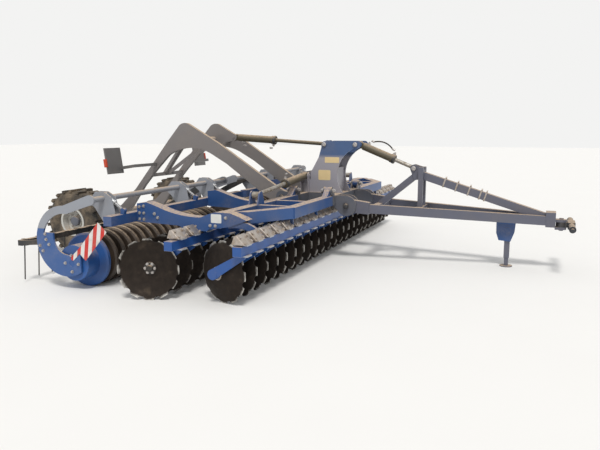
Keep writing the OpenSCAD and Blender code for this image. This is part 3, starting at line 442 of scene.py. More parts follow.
# %% Finishes by piece
FINISHES = {
    "tower": tower_enamel, "main_frame": grey_enamel, "drawbar_beams": drawbar_enamel,
    "drawbar_truss": drawbar_enamel, "jack_bracket": blue_enamel, "hitch_head": dark_enamel,
    "jack_leg": drawbar_enamel, "drawbar_barrel": cylinder_enamel, "drawbar_rod": chrome,
    "arch": arch_enamel, "arch_bracing": arch_enamel, "axle": arch_enamel,
    "light_boards": board_enamel, "rim": rim_enamel, "tyre": tyre_rubber,
    "axle_barrel": cylinder_enamel, "axle_rod": cylinder_enamel, "wing_frame": blue_enamel,
    "wing_side": blue_enamel, "front_carrier": carrier_enamel, "rear_carrier": carrier_enamel,
    "front_discs": disc_steels["front"], "rear_discs": disc_steels["rear"],
    "roller_tube": blue_enamel, "roller_arms": arm_enamel, "warning_board": striped_film,
    "levelling_bar": bar_enamel, "wing_barrel": cylinder_enamel, "wing_rod": chrome,
    "roller": roller_enamel}


def dress(name):
    """Gives a frame piece the finish of its base name."""
    base = name
    for side in SIDES:
        base = base.removesuffix("_" + side)
    mesh = nodes[name].data
    mesh.materials.clear()
    mesh.materials.append(FINISHES[base])


for name in nodes:
    dress(name)
print(len(nodes), "frame pieces dressed")

# %% [markdown]
# ## Tools for new pieces
# A new piece starts as a primitive, is shaped in edit mode, and ends with its place in its mesh.
# What repeats is modelled once at the zero point and copied to its places, each copy with its own
# mesh, and the copies on one body are joined, so that the list of pieces stays short.

# %% Modelling helpers
LOOKS_ALONG = 0.9
SMOOTH_BELOW = 35


def grab(*pieces):
    """Selects just these pieces, the first one active."""
    bpy.ops.object.select_all(action="DESELECT")
    for piece in pieces:
        piece.select_set(True)
    bpy.context.view_layer.objects.active = pieces[0]


def settle(piece):
    """Moves a piece's place, turn and scale into its mesh."""
    grab(piece)
    bpy.ops.object.transform_apply(location=True, rotation=True, scale=True)
    return piece


def open_faces(piece, chosen):
    """Opens edit mode with the faces for which chosen(face) is true."""
    grab(piece)
    bpy.ops.object.mode_set(mode="EDIT")
    bpy.ops.mesh.select_mode(type="FACE")
    bpy.ops.mesh.select_all(action="DESELECT")
    bpy.ops.object.mode_set(mode="OBJECT")
    for face in piece.data.polygons:
        face.select = chosen(face)
    bpy.ops.object.mode_set(mode="EDIT")


def every_face(face):
    return True


def top_face(face):
    return face.normal.z > LOOKS_ALONG


def block(x, y, z, at=(0, 0, 0), bevel=1.0):
    """A block of x by y by z millimetres with bevelled edges, its centre at a place."""
    bpy.ops.object.select_all(action="DESELECT")
    bpy.ops.mesh.primitive_cube_add(size=1, location=[mm(v) for v in at],
                                    scale=(mm(x), mm(y), mm(z)))
    made = settle(bpy.context.object)
    open_faces(made, every_face)
    bpy.ops.mesh.bevel(offset=mm(bevel), segments=2, affect="EDGES")
    bpy.ops.object.mode_set(mode="OBJECT")
    return made


def disc_bar(radius, length, at=(0, 0, 0), sides=24, bevel=1.0, along="Z"):
    """A round or many-sided bar along X or Z with bevelled ends, its centre at a place."""
    turn = {"X": (0, math.radians(90), 0), "Z": (0, 0, 0)}[along]
    bpy.ops.object.select_all(action="DESELECT")
    bpy.ops.mesh.primitive_cylinder_add(vertices=sides, radius=mm(radius), depth=mm(length),
                                        location=[mm(v) for v in at], rotation=turn)
    made = settle(bpy.context.object)
    open_faces(made, lambda face: len(face.vertices) == sides)
    bpy.ops.mesh.bevel(offset=mm(bevel), segments=2, affect="EDGES")
    bpy.ops.object.mode_set(mode="OBJECT")
    return made


def lift_top(piece, inset, lift):
    """Insets a piece's top face and lifts it, both in millimetres."""
    open_faces(piece, top_face)
    bpy.ops.mesh.inset(thickness=mm(inset))
    bpy.ops.transform.translate(value=(0, 0, mm(lift)))
    bpy.ops.object.mode_set(mode="OBJECT")
    return piece


# %% Copying, joining and finishing
def join(pieces):
    """One piece made of several."""
    grab(*pieces)
    if len(pieces) > 1:
        bpy.ops.object.join()
    return pieces[0]


def copy_of(model, matrix):
    """A copy with its own mesh, carried to a place."""
    made = model.copy()
    made.data = model.data.copy()
    made.data.transform(matrix)
    bpy.context.scene.collection.objects.link(made)
    return made


def hand_over(piece, name, body, material):
    """Names a piece, gives it its finish and sets the body that carries it."""
    piece.name = name
    piece.data.name = name
    piece.data.materials.clear()
    piece.data.materials.append(material)
    grab(piece)
    bpy.ops.object.shade_smooth_by_angle(angle=math.radians(SMOOTH_BELOW))
    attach(piece, body)
    return piece


def spread(model, matrices, name, body, material):
    """Copies a model to many places and joins the copies into one piece."""
    copies = [copy_of(model, matrix) for matrix in matrices]
    piece = hand_over(join(copies), name, body, material)
    print(name, "holds", len(copies), "copies and", len(piece.data.polygons), "faces")
    return piece


def turned(direction):
    """Rotation that carries +Z to a direction."""
    return Vector(direction).to_track_quat("Z", "Y").to_matrix().to_4x4()


def standing(x, y, z, direction, size=1.0):
    """Place and turn of something that stands on a face and looks along a direction."""
    return Matrix.Translation(place(x, y, z)) @ turned(direction) @ Matrix.Scale(size, 4)


# %% [markdown]
# ## Bolts
# Clamps, plates and pins are held by hexagon bolts and nuts on round washers. A bump could suggest
# them, but they stand over a centimetre proud and catch the light, so one is modelled, with its
# top chamfered by an inset that is lifted, and copied.

# %% One hexagon bolt
BOLT_ACROSS = 24
BOLT_HEIGHT = 12
WASHER_T = 2.4
CHAMFER_SHARE = 0.1
CROWN_SHARE = 0.06
WASHER_SHARE = 0.72


def hexagon_bolt():
    """Bolt head on its washer, standing on the zero plane."""
    corner = BOLT_ACROSS / 2 / math.cos(math.radians(30))
    bpy.ops.object.select_all(action="DESELECT")
    bpy.ops.mesh.primitive_cylinder_add(vertices=6, radius=mm(corner), depth=mm(BOLT_HEIGHT),
                                        location=(0, 0, mm(WASHER_T + BOLT_HEIGHT / 2)))
    head = settle(bpy.context.object)
    lift_top(head, BOLT_ACROSS * CHAMFER_SHARE, BOLT_ACROSS * CROWN_SHARE)
    washer_r = BOLT_ACROSS * WASHER_SHARE
    washer = disc_bar(washer_r, WASHER_T, (0, 0, WASHER_T / 2), sides=16, bevel=0.5)
    return join([head, washer])


bolt = hexagon_bolt()
print("bolt has", len(bolt.data.polygons), "faces")

# %% [markdown]
# ## Clamp hoods
# Each disc arm hangs from its carrier in a clamp, and a bent, zinc plated hood slopes down over it
# to the tube's front edge, held by bolts. A flat plate would be simpler, but the slope is what
# catches the light along the row. The hood is a block whose top face is drawn in, and it is copied
# along the tube at the disc pitch. The arches swing low over some rear hoods, so those are lower.

# %% Clamp hoods on the disc carriers
DISC_PITCH = 250
DISCS = 12
CLAMP_L = 142
CLAMP_TOP = 629
HOOD_W = 186
HOOD_H = 84
HOOD_TOP_SHARE = 0.2
HOOD_TOP_BACK = 26
HOOD_EDGE = 5
HOOD_BOLT_Y = 68
HOOD_BOLT_SHARES = (0.22, 0.78)
ARCH_Y = 430
ARCH_ROOM = 60
LOW_HOOD_SHARE = 0.45


def arm_places(row, side):
    """Places of a row's disc arms across the machine."""
    first = ROWS[row]["first"] - (0 if side == "left" else DISCS * DISC_PITCH)
    return [first + i * DISC_PITCH for i in range(DISCS)]


def clamp_hood():
    """A hood on the zero plane, its top drawn in and set back, with bolts on its front slope."""
    bpy.ops.object.select_all(action="DESELECT")
    bpy.ops.mesh.primitive_cube_add(size=1, location=(0, 0, mm(HOOD_H / 2)),
                                    scale=(mm(CLAMP_L), mm(HOOD_W), mm(HOOD_H)))
    hood = settle(bpy.context.object)
    open_faces(hood, top_face)
    bpy.ops.transform.resize(value=(HOOD_TOP_SHARE, 1, 1))
    bpy.ops.transform.translate(value=(mm(-HOOD_TOP_BACK), 0, 0))
    bpy.ops.mesh.select_all(action="SELECT")
    bpy.ops.mesh.bevel(offset=mm(HOOD_EDGE), segments=3, affect="EDGES")
    bpy.ops.object.mode_set(mode="OBJECT")
    front_low = Vector((mm(CLAMP_L / 2), 0, 0))
    front_top = Vector((mm(CLAMP_L / 2 * HOOD_TOP_SHARE - HOOD_TOP_BACK), 0, mm(HOOD_H)))
    slope = (front_top - front_low).cross(Vector((0, -1, 0)))
    seats = [front_low.lerp(front_top, share) + Vector((0, mm(y), 0))
             for share in HOOD_BOLT_SHARES for y in (-HOOD_BOLT_Y, HOOD_BOLT_Y)]
    return join([hood, *(copy_of(bolt, Matrix.Translation(seat) @ turned(slope)) for seat in seats)])


def hood_place(row, y):
    """Place of a hood. Under the swinging arches a rear hood is a lower one."""
    under_arch = row == "rear" and abs(abs(y) - ARCH_Y) < HOOD_W / 2 + ARCH_ROOM
    height = Matrix.Scale(LOW_HOOD_SHARE if under_arch else 1, 4, (0, 0, 1))
    return Matrix.Translation(place(ROWS[row]["x"], y, CLAMP_TOP)) @ height


hood = clamp_hood()
for row in ROWS:
    for side in SIDES:
        spots = [hood_place(row, y) for y in arm_places(row, side)]
        spread(hood, spots, f"clamp_hoods_{row}_{side}", f"wing_{side}", hood_zinc)

# %% [markdown]
# ## Disc hubs
# On the hollow side each disc is held by a cast flange with six bolts and a grease cap, and on the
# arm's side by a bearing ring. A spun profile would make them, but round bars with bevelled ends
# give the same turned shapes with fewer steps. Bolts and nuts are one bolt on a pitch circle.

# %% Hub flanges inside the discs
HUB_FLANGE_R = 62
HUB_FLANGE_T = 9
GREASE_CAP_R = 34
GREASE_CAP_L = 20
GREASE_CAP_MIDDLE = 16
HUB_BOLTS = 6
HUB_BOLT_R = 48
HUB_BOLT_SIZE = 0.9
HUB_BACK = -6
HUB_RING_R = 66
HUB_RING_T = 14
HUB_NUT_R = 54
HUB_NUT_SIZE = 0.6
HUB_TURNS = [Matrix.Rotation(math.radians(360 / HUB_BOLTS * i), 4, "Z") for i in range(HUB_BOLTS)]


def disc_place(row, side, i):
    """Frame of a disc: its hollow side looks along +Z and its rim lies at zero."""
    look = ROWS[row]["look"]
    spot = place(ROWS[row]["x"] - DISC_TRAIL, arm_places(row, side)[i] + look * DISC_SIDE, DISC_R)
    aim = Vector((math.sin(DISC_ANGLE), look * math.cos(DISC_ANGLE), 0))
    return Matrix.Translation(spot) @ turned(aim)


def hub_flange():
    """The flange in the hollow of a disc, with its grease cap."""
    middle = HUB_FLANGE_T / 2 - DISC_DISH
    flange = disc_bar(HUB_FLANGE_R, HUB_FLANGE_T, (0, 0, middle), sides=28, bevel=2)
    cap_at = (0, 0, GREASE_CAP_MIDDLE - DISC_DISH)
    cap = disc_bar(GREASE_CAP_R, GREASE_CAP_L, cap_at, sides=24, bevel=3)
    return join([flange, lift_top(cap, inset=8, lift=5)])


def hub_bolts(radius, height, size, turn=0):
    """Bolts on a pitch circle of a hub, turned over by an angle in degrees."""
    over = Matrix.Rotation(math.radians(turn), 4, "X")
    seat = Matrix.Translation((mm(radius), 0, mm(height))) @ over @ Matrix.Scale(size, 4)
    return [copy_of(bolt, step @ seat) for step in HUB_TURNS]


def bearing_ring():
    """The ring behind a disc, round the end of its arm, with its nuts."""
    back = HUB_BACK - DISC_DISH
    ring = disc_bar(HUB_RING_R, HUB_RING_T, (0, 0, back - HUB_RING_T / 2), sides=28, bevel=3)
    return join([ring, *hub_bolts(HUB_NUT_R, back - HUB_RING_T, HUB_NUT_SIZE, turn=180)])


hub = hub_flange()
ring_of_bolts = join(hub_bolts(HUB_BOLT_R, HUB_FLANGE_T - DISC_DISH, HUB_BOLT_SIZE))
bearing = bearing_ring()
for row in ROWS:
    for side in SIDES:
        spots = [disc_place(row, side, i) for i in range(DISCS)]
        spread(hub, spots, f"disc_hubs_{row}_{side}", f"wing_{side}", cast_iron)
        spread(ring_of_bolts, spots, f"disc_bolts_{row}_{side}", f"wing_{side}", zinc)
        spread(bearing, spots, f"disc_bearings_{row}_{side}", f"wing_{side}", hood_zinc)

# %% [markdown]
# ## Depth spindles
# Three spindles on each wing hold the roller at its height, which sets how deep the discs cut.
# Each is a zinc plated sleeve over a threaded rod, with a collar at the bracket and a nut that
# locks it. A helix would be the true thread, but at this size short ridges look the same.

# %% Depth spindles
# Radii and lengths are in millimetres, places and shares are parts of the spindle's length
SPINDLE_TOP = Vector((-1700, 0, 1012))
SPINDLE_FOOT = Vector((-1490, 0, 862))
BRACKET_Y = (640, 1300, 2700)
SLEEVE_R = 21
SLEEVE_SHARE = 0.5
SLEEVE_AT = 0.3
LOCK_NUT = (29, 22)
LOCK_NUT_AT = 0.58
COLLAR = (25, 14)
COLLAR_AT = 0.07
THREADS = 12
THREAD_R = 17
THREAD_SHARE = 0.34
THREAD_FROM = 0.64
RIDGE_SHARE = 0.6


def depth_spindle():
    """A spindle from the zero point along +Z."""
    length = (SPINDLE_FOOT - SPINDLE_TOP).length
    middle = (0, 0, length * SLEEVE_AT)
    sleeve = disc_bar(SLEEVE_R, length * SLEEVE_SHARE, middle, sides=20, bevel=2)
    nut = disc_bar(*LOCK_NUT, (0, 0, length * LOCK_NUT_AT), sides=6, bevel=2)
    collar = disc_bar(*COLLAR, (0, 0, length * COLLAR_AT), sides=20, bevel=2)
    pitch = length * THREAD_SHARE / THREADS
    heights = [length * THREAD_FROM + i * pitch for i in range(THREADS)]
    ridge = pitch * RIDGE_SHARE
    threads = [disc_bar(THREAD_R, ridge, (0, 0, z), sides=14, bevel=1.6) for z in heights]
    return join([sleeve, nut, collar, *threads])


spindle = depth_spindle()
aim = turned(SPINDLE_FOOT - SPINDLE_TOP)
for side, out in SIDES.items():
    tops = [place(SPINDLE_TOP.x, out * y, SPINDLE_TOP.z) for y in BRACKET_Y]
    spots = [Matrix.Translation(top) @ aim for top in tops]
    spread(spindle, spots, f"depth_spindles_{side}", f"wing_{side}", spindle_zinc)

# %% [markdown]
# ## Bolts on the plates
# The roller's side plates, the box plates and the pivots are bolted. Heads could be set one by one,
# but a list is easier to check: it gives the places on one side of the machine as length and
# height, and the other side is its mirror image.

# %% Bolts of the side plates
ROLLER_PLATE_Y = 2932
BOX_PLATE_Y = 2500
BEARING = (-1975, 290)
BEARING_BOLTS = 4
BEARING_BOLT_R = 87
ROLLER_PLATE_BOLTS = [(-2313, 583), (-2304, 525), (-2268, 474), (-2392, 455), (-2355, 400)]
BOX_PLATE_BOLTS = [(-1420, 865), (-1365, 875), (-1420, 800), (-1365, 800), (-1420, 735), (-1365, 735),
                   (-1230, 800), (-1190, 760), (-560, 712), (-500, 712), (-380, 800)]


def side_bolts(side):
    """Places of all bolt heads on a wing's outer plates."""
    out = SIDES[side]
    ring = [math.radians(360 / BEARING_BOLTS * i) for i in range(BEARING_BOLTS)]
    x, z = BEARING
    bearing = [(x + BEARING_BOLT_R * math.cos(a), z + BEARING_BOLT_R * math.sin(a)) for a in ring]
    far = [standing(x, out * ROLLER_PLATE_Y, z, (0, out, 0)) for x, z in bearing + ROLLER_PLATE_BOLTS]
    near = [standing(x, out * BOX_PLATE_Y, z, (0, out, 0)) for x, z in BOX_PLATE_BOLTS]
    return far + near


for side in SIDES:
    spread(bolt, side_bolts(side), f"plate_bolts_{side}", f"wing_{side}", zinc)

# %% Nuts on the pivots and hinges
PIVOT_PIN_END = 497
PIVOT_NUT_SIZE = 2.3
PIVOT_PINS = {"drawbar_pivot_nuts": (240, 720), "gear_pivot_nuts": (-650, 800)}
HINGES_X = (40, -430)
HINGE_Y = 600
HINGE_Z = 915
HINGE_PIN_END = 65
HINGE_NUT_SIZE = 1.9

for name, (x, z) in PIVOT_PINS.items():
    ends = [standing(x, out * PIVOT_PIN_END, z, (0, out, 0), PIVOT_NUT_SIZE)
            for out in SIDES.values()]
    spread(bolt, ends, name, "frame", dark_enamel)

hinge_ends = [standing(x + end * HINGE_PIN_END, out * HINGE_Y, HINGE_Z, (end, 0, 0), HINGE_NUT_SIZE)
              for x in HINGES_X for end in (1, -1) for out in SIDES.values()]
spread(bolt, hinge_ends, "hinge_nuts", "frame", zinc)

# %% Heads of the cylinders' pins
# The body that carries the heads and their places on the left side
PIN_HEADS = {
    "tower_pin_heads": ("frame", [(-165, 200, 1487), (262, 200, 1487)]),
    "truss_pin_heads": ("drawbar", [(1005, 71, 1189)])}
PIN_HEAD_R = 30
PIN_HEAD_T = 8

pin_head = disc_bar(PIN_HEAD_R, PIN_HEAD_T, (0, 0, PIN_HEAD_T / 2), sides=28, bevel=2)
lift_top(pin_head, inset=12, lift=5)
for name, (body, spots) in PIN_HEADS.items():
    heads = [standing(x, out * y, z, (0, out, 0)) for x, y, z in spots for out in SIDES.values()]
    spread(pin_head, heads, name, body, zinc)

# %% [markdown]
# ## Hydraulic fittings
# Each cylinder has a threaded port near both ends of its barrel, with a plated elbow on it. A thick
# curve could make the bend, but a round face turned through a quarter circle with spin keeps the
# exact radius. The tube's ends go into the port's nut and a crimped sleeve.

# %% Elbow fitting
ELBOW_BEND_R = 22
ELBOW_RISE = 35
ELBOW_TUBE_R = 9
ELBOW_TUBE_L = 10
PORT_BOSS_R = 17
PORT_BOSS_T = 12
PORT_NUT_R = 15
PORT_NUT_T = 14
CRIMP_R = 13
CRIMP_L = 40
CRIMP_LAP = 4


def port_elbow():
    """A port boss, a nut, a bent tube and a crimped sleeve, standing on the zero plane."""
    boss = disc_bar(PORT_BOSS_R, PORT_BOSS_T, (0, 0, PORT_BOSS_T / 2), sides=16)
    nut = disc_bar(PORT_NUT_R, PORT_NUT_T, (0, 0, PORT_BOSS_T + PORT_NUT_T / 2), sides=6)
    start = (0, 0, mm(ELBOW_RISE - ELBOW_TUBE_L / 2))
    bpy.ops.object.select_all(action="DESELECT")
    bpy.ops.mesh.primitive_cylinder_add(vertices=14, radius=mm(ELBOW_TUBE_R),
                                        depth=mm(ELBOW_TUBE_L), location=start)
    tube = settle(bpy.context.object)
    open_faces(tube, top_face)
    bend = (mm(ELBOW_BEND_R), 0, mm(ELBOW_RISE))
    bpy.ops.mesh.spin(steps=5, angle=math.radians(90), center=bend, axis=(0, 1, 0))
    bpy.ops.mesh.select_all(action="SELECT")
    bpy.ops.mesh.remove_doubles(threshold=mm(0.1))
    bpy.ops.mesh.normals_make_consistent(inside=False)
    bpy.ops.object.mode_set(mode="OBJECT")
    end = (ELBOW_BEND_R - CRIMP_LAP + CRIMP_L / 2, 0, ELBOW_RISE + ELBOW_BEND_R)
    sleeve = disc_bar(CRIMP_R, CRIMP_L, end, sides=16, bevel=1.5, along="X")
    return join([boss, nut, tube, sleeve])


# %% Where the cylinders lie
# The eye of each barrel and the eye of its rod, then the side of the barrel that its ports are on
WING_CYLINDER = ((-430, 205, 1070), (-430, 1700, 950))
CYLINDERS = {
    "wing_left": WING_CYLINDER,
    "wing_right": tuple((x, -y, z) for x, y, z in WING_CYLINDER),
    "drawbar": ((262, 0, 1487), (1005, 0, 1189)),
    "axle": ((-1587.7, 0, 1573.9), (-165, 0, 1487))}
BARREL_L = {"wing_left": 700, "wing_right": 700, "drawbar": 520, "axle": 640}
PORT_SIDE = {"wing_left": 1, "wing_right": 1, "drawbar": 1, "axle": -1}
CYLINDER_BODY = {"wing_left": "wing_cylinder_left", "wing_right": "wing_cylinder_right",
                 "drawbar": "drawbar_cylinder", "axle": "axle_cylinder"}
BARREL_R = 50
GLAND_R = 57
PORT_ROOT = 120
PORT_FROM_END = 30
PORT_SINK = 2


def on_barrel(cylinder, distance, lift):
    """Frame on a barrel: +X runs towards the rod and +Z away from the barrel's line."""
    root, end = (place(*p) for p in CYLINDERS[cylinder])
    run = (end - root).normalized()
    up = (Vector((0, 0, PORT_SIDE[cylinder])) - run * run.z * PORT_SIDE[cylinder]).normalized()
    turn = Matrix((run, up.cross(run), up)).transposed().to_4x4()
    return Matrix.Translation(root + run * mm(distance) + up * mm(lift)) @ turn


elbow = port_elbow()
backwards = Matrix.Rotation(math.radians(180), 4, "Z")
for cylinder, length in BARREL_L.items():
    spots = [on_barrel(cylinder, PORT_ROOT, BARREL_R - PORT_SINK),
             on_barrel(cylinder, length - PORT_FROM_END, GLAND_R - PORT_SINK) @ backwards]
    spread(elbow, spots, f"{cylinder}_fittings", CYLINDER_BODY[cylinder], zinc)

# %% [markdown]
# ## The hose on the drawbar cylinder
# A short hose runs from one port of the drawbar cylinder to the other. Bent tubes could follow it,
# but it is held at both ends and bows up between them in one sweep, so it is a curve of two points
# with a round section, made a mesh once its handles have set the bow.

# %% Hose between the two ports
HOSE_R = 9
HOSE_RISE = 55
HOSE_IN_CRIMP = 6


def bowed_hose(start, end):
    """A hose from one place to another in millimetres, bowed upwards between them."""
    bpy.ops.object.select_all(action="DESELECT")
    bpy.ops.curve.primitive_bezier_curve_add()
    hose = bpy.context.object
    first, last = hose.data.splines[0].bezier_points
    third = mm(end[0] - start[0]) / 3
    for point, spot, way in ((first, start, 1), (last, end, -1)):
        at = Vector([mm(v) for v in spot])
        inwards = at + Vector((way * third, 0, mm(HOSE_RISE)))
        outwards = at - Vector((way * third, 0, 0))
        point.handle_left_type = "FREE"
        point.handle_right_type = "FREE"
        point.co = at
        point.handle_left = outwards if way > 0 else inwards
        point.handle_right = inwards if way > 0 else outwards
    hose.data.bevel_depth = mm(HOSE_R)
    hose.data.bevel_resolution = 4
    hose.data.resolution_u = 16
    hose.data.use_fill_caps = True
    grab(hose)
    bpy.ops.object.convert(target="MESH")
    return bpy.context.object


elbow_reach = ELBOW_BEND_R - CRIMP_LAP + CRIMP_L - HOSE_IN_CRIMP
elbow_top = ELBOW_RISE + ELBOW_BEND_R
hose_from = (PORT_ROOT + elbow_reach, 0, BARREL_R - PORT_SINK + elbow_top)
hose_to = (BARREL_L["drawbar"] - PORT_FROM_END - elbow_reach, 0, GLAND_R - PORT_SINK + elbow_top)
hose = bowed_hose(hose_from, hose_to)
spread(hose, [on_barrel("drawbar", 0, 0)], "drawbar_cylinder_hose", "drawbar_cylinder", hose_rubber)

# %% [markdown]
# ## Clips on the upper beam
# Clips sit along the drawbar's sloping upper beam. Each is a flat band bent round the beam with an
# eye on top. A bent strip would be hollow, but the beam fills it and hides that, so the band is a
# bevelled block a little larger than the beam's section.

# %% Clips along the upper beam
BEAM_REAR = Vector((1085, 0, 1109))
BEAM_FRONT = Vector((2610, 0, 635))
CLIPS_AT = (0.2, 0.3, 0.4, 0.49, 0.53)
CLIP_BAND = (112, 116, 18)
CLIP_EYE = (15, 16)
CLIP_EYE_UP = 66


def beam_clip():
    """A band round a beam that runs along Z, with its eye towards +X."""
    band = block(*CLIP_BAND, bevel=2)
    eye = disc_bar(*CLIP_EYE, (CLIP_EYE_UP, 0, 0), sides=16, bevel=2)
    return join([band, eye])


clip = beam_clip()
beam_run = (BEAM_FRONT - BEAM_REAR).normalized()
beam_up = beam_run.cross(Vector((0, 1, 0)))
beam_turn = Matrix((beam_up, beam_run.cross(beam_up), beam_run)).transposed().to_4x4()
stops = [BEAM_REAR.lerp(BEAM_FRONT, share) for share in CLIPS_AT]
clip_spots = [Matrix.Translation(place(*stop)) @ beam_turn for stop in stops]
spread(clip, clip_spots, "beam_clips", "drawbar", hood_zinc)

# %% [markdown]
# ## Glands on the cylinders
# A barrel is drawn tube with a screwed gland at the rod end. The gland has flats for a spanner,
# so it is a twelve sided bar whose ends are inset and drawn out.

# %% Gland rings
GLAND_RING_R = 61
GLAND_RING_L = 30
GLAND_RING_BACK = 18
GLAND_DRAWN_OUT = 1.12


def gland_ring():
    """A gland along Z with both ends drawn out."""
    ring = disc_bar(GLAND_RING_R, GLAND_RING_L, sides=12, bevel=3)
    open_faces(ring, lambda face: abs(face.normal.z) > LOOKS_ALONG)
    bpy.ops.mesh.inset(thickness=mm(14))
    bpy.ops.transform.resize(value=(1, 1, GLAND_DRAWN_OUT))
    bpy.ops.object.mode_set(mode="OBJECT")
    return ring


gland = gland_ring()
lay_down = Matrix.Rotation(math.radians(90), 4, "Y")
for cylinder, length in BARREL_L.items():
    seat = on_barrel(cylinder, length - GLAND_RING_BACK, 0) @ lay_down
    spread(gland, [seat], f"{cylinder}_gland", CYLINDER_BODY[cylinder], dark_enamel)

# %% [markdown]
# ## Wheels
# A wheel is a tyre on a dished rim, held by ten nuts round a stepped hub cap. The tyre and the rim
# are in the frame. A spun profile could make the cap, but a round bar whose outer face is inset
# and lifted twice has its steps with fewer numbers, and the nuts are copies of the bolt.

# %% Wheel nuts and hub caps
WHEEL_X = -3396
WHEEL_Y = 1200
TYRE_R = 436
WHEEL_NUTS = 10
WHEEL_NUT_R = 128
WHEEL_NUT_SIZE = 1.1
RIM_FACE = 44
STUB_END = 80
HUB_CAP_R = 70
HUB_CAP_L = 36
HUB_CAP_STEPS = ((16, 10), (12, 5))


def wheel_nut_places(out):
    """Places of a wheel's nuts on the outer face of its rim."""
    angles = [2 * math.pi * i / WHEEL_NUTS for i in range(WHEEL_NUTS)]
    return [standing(WHEEL_X + WHEEL_NUT_R * math.cos(a), out * (WHEEL_Y + RIM_FACE),
                     TYRE_R + WHEEL_NUT_R * math.sin(a), (0, out, 0), WHEEL_NUT_SIZE)
            for a in angles]


cap = disc_bar(HUB_CAP_R, HUB_CAP_L, (0, 0, HUB_CAP_L / 2), sides=32, bevel=6)
for inset, lift in HUB_CAP_STEPS:
    lift_top(cap, inset, lift)
for side, out in SIDES.items():
    spread(bolt, wheel_nut_places(out), f"wheel_nuts_{side}", f"wheel_{side}", zinc)
    seat = standing(WHEEL_X, out * (WHEEL_Y + STUB_END), TYRE_R, (0, out, 0))
    spread(cap, [seat], f"hub_cap_{side}", f"wheel_{side}", grey_enamel)

# %% [markdown]
# ## Bare labels
# Each side of the tower has two labels and each box plate has one, of vinyl film with round corners
# and nothing on it. A patch of colour in the paint would have no edge, so each is a plane whose
# corners are bevelled and which is then given its thickness.

# %% Vinyl labels
LABEL_T = 1.2
CORNER_SHARE = 0.12


def vinyl_label(width, height):
    """A thin panel with round corners that lies on the zero plane."""
    bpy.ops.object.select_all(action="DESELECT")
    bpy.ops.mesh.primitive_plane_add(size=1)
    panel = bpy.context.object
    panel.scale = (mm(width), mm(height), 1)
    settle(panel)
    open_faces(panel, every_face)
    corner = mm(min(width, height) * CORNER_SHARE)
    bpy.ops.mesh.bevel(offset=corner, segments=4, affect="VERTICES")
    bpy.ops.mesh.extrude_region_move(TRANSFORM_OT_translate={"value": (0, 0, mm(LABEL_T))})
    bpy.ops.mesh.select_all(action="SELECT")
    bpy.ops.mesh.normals_make_consistent(inside=False)
    bpy.ops.object.mode_set(mode="OBJECT")
    return panel


# What carries a label, its place on the left side, its width and height, and its film
LABELS = {
    "tower_label_upper": ("frame", (-55, 190, 1283), (200, 75), yellow_vinyl),
    "tower_label_lower": ("frame", (-160, 190, 1082), (170, 135), yellow_vinyl),
    "wing_label": ("wing", (-490, 2500, 787), (120, 90), white_vinyl)}
for name, (carrier, (x, y, z), (width, height), vinyl) in LABELS.items():
    panel = vinyl_label(width, height)
    for side, out in SIDES.items():
        body = carrier if carrier == "frame" else f"wing_{side}"
        flat = Matrix.Rotation(math.radians(-90 * out), 4, "X")
        lie = Matrix.Translation(place(x, out * y, z)) @ flat
        spread(panel, [lie], f"{name}_{side}", body, vinyl)
    bpy.data.objects.remove(panel)

# %% [markdown]
# ## Lamps
# Each light board has a round red lens that looks back and a long orange marker lamp on its outer
# edge. A sliced sphere could be a lens, but a moulded one is flat with a rim, so it is a round bar
# or a block whose outer face is inset and lifted, and the crown catches the light.

# %% Lamps on the light boards
GEAR_PIVOT = Vector((-650, 0, 800))
GEAR_LIFT = math.radians(8.5)
LAMP = Vector((-2820, 1135, 1500))
LENS_R = 42
LENS_T = 16


def lowered(point):
    """A place drawn on the lifted running gear, after it is lowered to the floor."""
    return GEAR_PIVOT + Matrix.Rotation(-GEAR_LIFT, 3, "Y") @ (point - GEAR_PIVOT)


lens = lift_top(disc_bar(LENS_R, LENS_T, sides=32, bevel=5), inset=14, lift=5)
for side, out in SIDES.items():
    spot = lowered(Vector((LAMP.x, out * LAMP.y, LAMP.z)))
    look_back = Matrix.Rotation(-GEAR_LIFT, 4, "Y") @ turned((-1, 0, 0))
    spread(lens, [Matrix.Translation(place(*spot)) @ look_back], f"lamp_{side}", "chassis", red_lens)

# %% Marker lamps on the boards' outer edges
MARKER = Vector((-2779, 1250, 1560))
MARKER_L = 110
MARKER_W = 44
MARKER_T = 26

marker = block(MARKER_L, MARKER_W, MARKER_T, (0, 0, MARKER_T / 2), bevel=4)
lift_top(marker, inset=7, lift=5)
for side, out in SIDES.items():
    spot = lowered(Vector((MARKER.x, out * MARKER.y, MARKER.z)))
    upright = Matrix(((0, 0, 1), (-out, 0, 0), (0, out, 0))).transposed().to_4x4()
    lean = Matrix.Rotation(-GEAR_LIFT, 4, "Y")
    turn = Matrix.Translation(place(*spot)) @ lean @ upright
    spread(marker, [turn], f"marker_lamp_{side}", "chassis", orange_lens)

# %% Clear the models away
for model in (bolt, hood, hub, ring_of_bolts, bearing, spindle, pin_head, elbow, hose, clip, gland,
              cap, lens, marker):
    bpy.data.objects.remove(model)
print("models cleared away")

# %% [markdown]
# ## Studio
# A plain pale floor, a soft sky all round and one sun whose wide disc softens its shadows. Lamps
# near the machine would light one wing more than the other, and a sun lights both alike. The
# white behind the machine is seen by the camera and in bright metal, and lights nothing else.

# %% Floor
FLOOR_M = 120
FLOOR_CLOUD_MM = 900
FLOOR_CLOUD_SHARE = 0.2


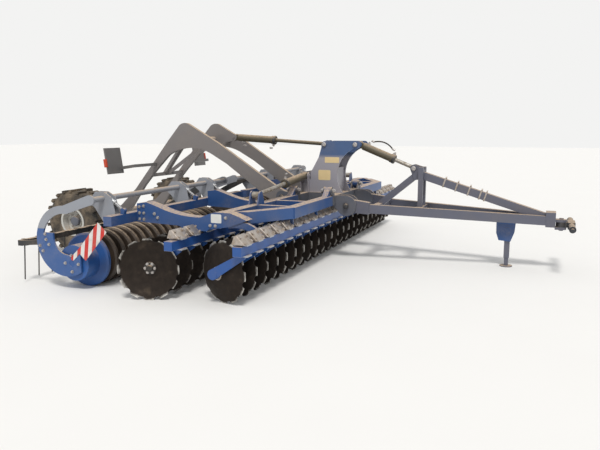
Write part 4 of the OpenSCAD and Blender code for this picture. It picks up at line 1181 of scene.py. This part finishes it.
def painted_floor():
    """Matt floor paint, a little uneven."""
    material, tree, shader, here = new_material("painted_floor", "rim_paint", "#e6e5e2", 0.0, 0.9)
    cloud = node(tree, "TexNoise", {"Vector": here, "Scale": 1 / mm(FLOOR_CLOUD_MM), "Detail": 2.0})
    share = node(tree, "Math", {0: cloud, 1: FLOOR_CLOUD_SHARE}, operation="MULTIPLY")
    greys = {0: share, 6: srgb("#e9e8e5"), 7: srgb("#dfddd9")}
    tree.links.new(node(tree, "Mix", greys, **COLOURS), shader.inputs["Base Color"])
    return material


bpy.ops.object.select_all(action="DESELECT")
bpy.ops.mesh.primitive_plane_add(size=FLOOR_M)
floor = bpy.context.object
floor.name = "studio_floor"
floor.data.materials.append(painted_floor())

# %% World and sun
SKY_STRENGTH = 0.75
SUN_STRENGTH = 1.9
SUN_WIDTH = math.radians(12)
SUN_TILT = math.radians(32)
SUN_TURN = math.radians(25)

world = bpy.data.worlds.new("studio")
bpy.context.scene.world = world
world.use_nodes = True
sky = world.node_tree
soft_light = node(sky, "Background", {"Color": srgb("#f4f5f7"), "Strength": SKY_STRENGTH})
white_wall = node(sky, "Background", {"Color": srgb("#f3f3f2"), "Strength": 1.0})
camera_ray = node(sky, "LightPath", out="Is Camera Ray")
glossy_ray = node(sky, "LightPath", out="Is Glossy Ray")
through_ray = node(sky, "LightPath", out="Is Transmission Ray")
straight = node(sky, "Math", {0: camera_ray, 1: glossy_ray}, operation="ADD")
seen = node(sky, "Math", {0: straight, 1: through_ray}, operation="ADD", use_clamp=True)
shown = node(sky, "MixShader", {0: seen, 1: soft_light, 2: white_wall})
sky.links.new(shown, sky.nodes["World Output"].inputs[0])

sun_data = bpy.data.lights.new("key", "SUN")
sun_data.energy = SUN_STRENGTH
sun_data.angle = SUN_WIDTH
sun_data.color = (1.0, 0.98, 0.95)
sun = bpy.data.objects.new("key", sun_data)
sun.rotation_euler = (SUN_TILT, 0, SUN_TURN)
bpy.context.scene.collection.objects.link(sun)
bpy.context.scene.view_settings.view_transform = "Standard"
print("studio set")
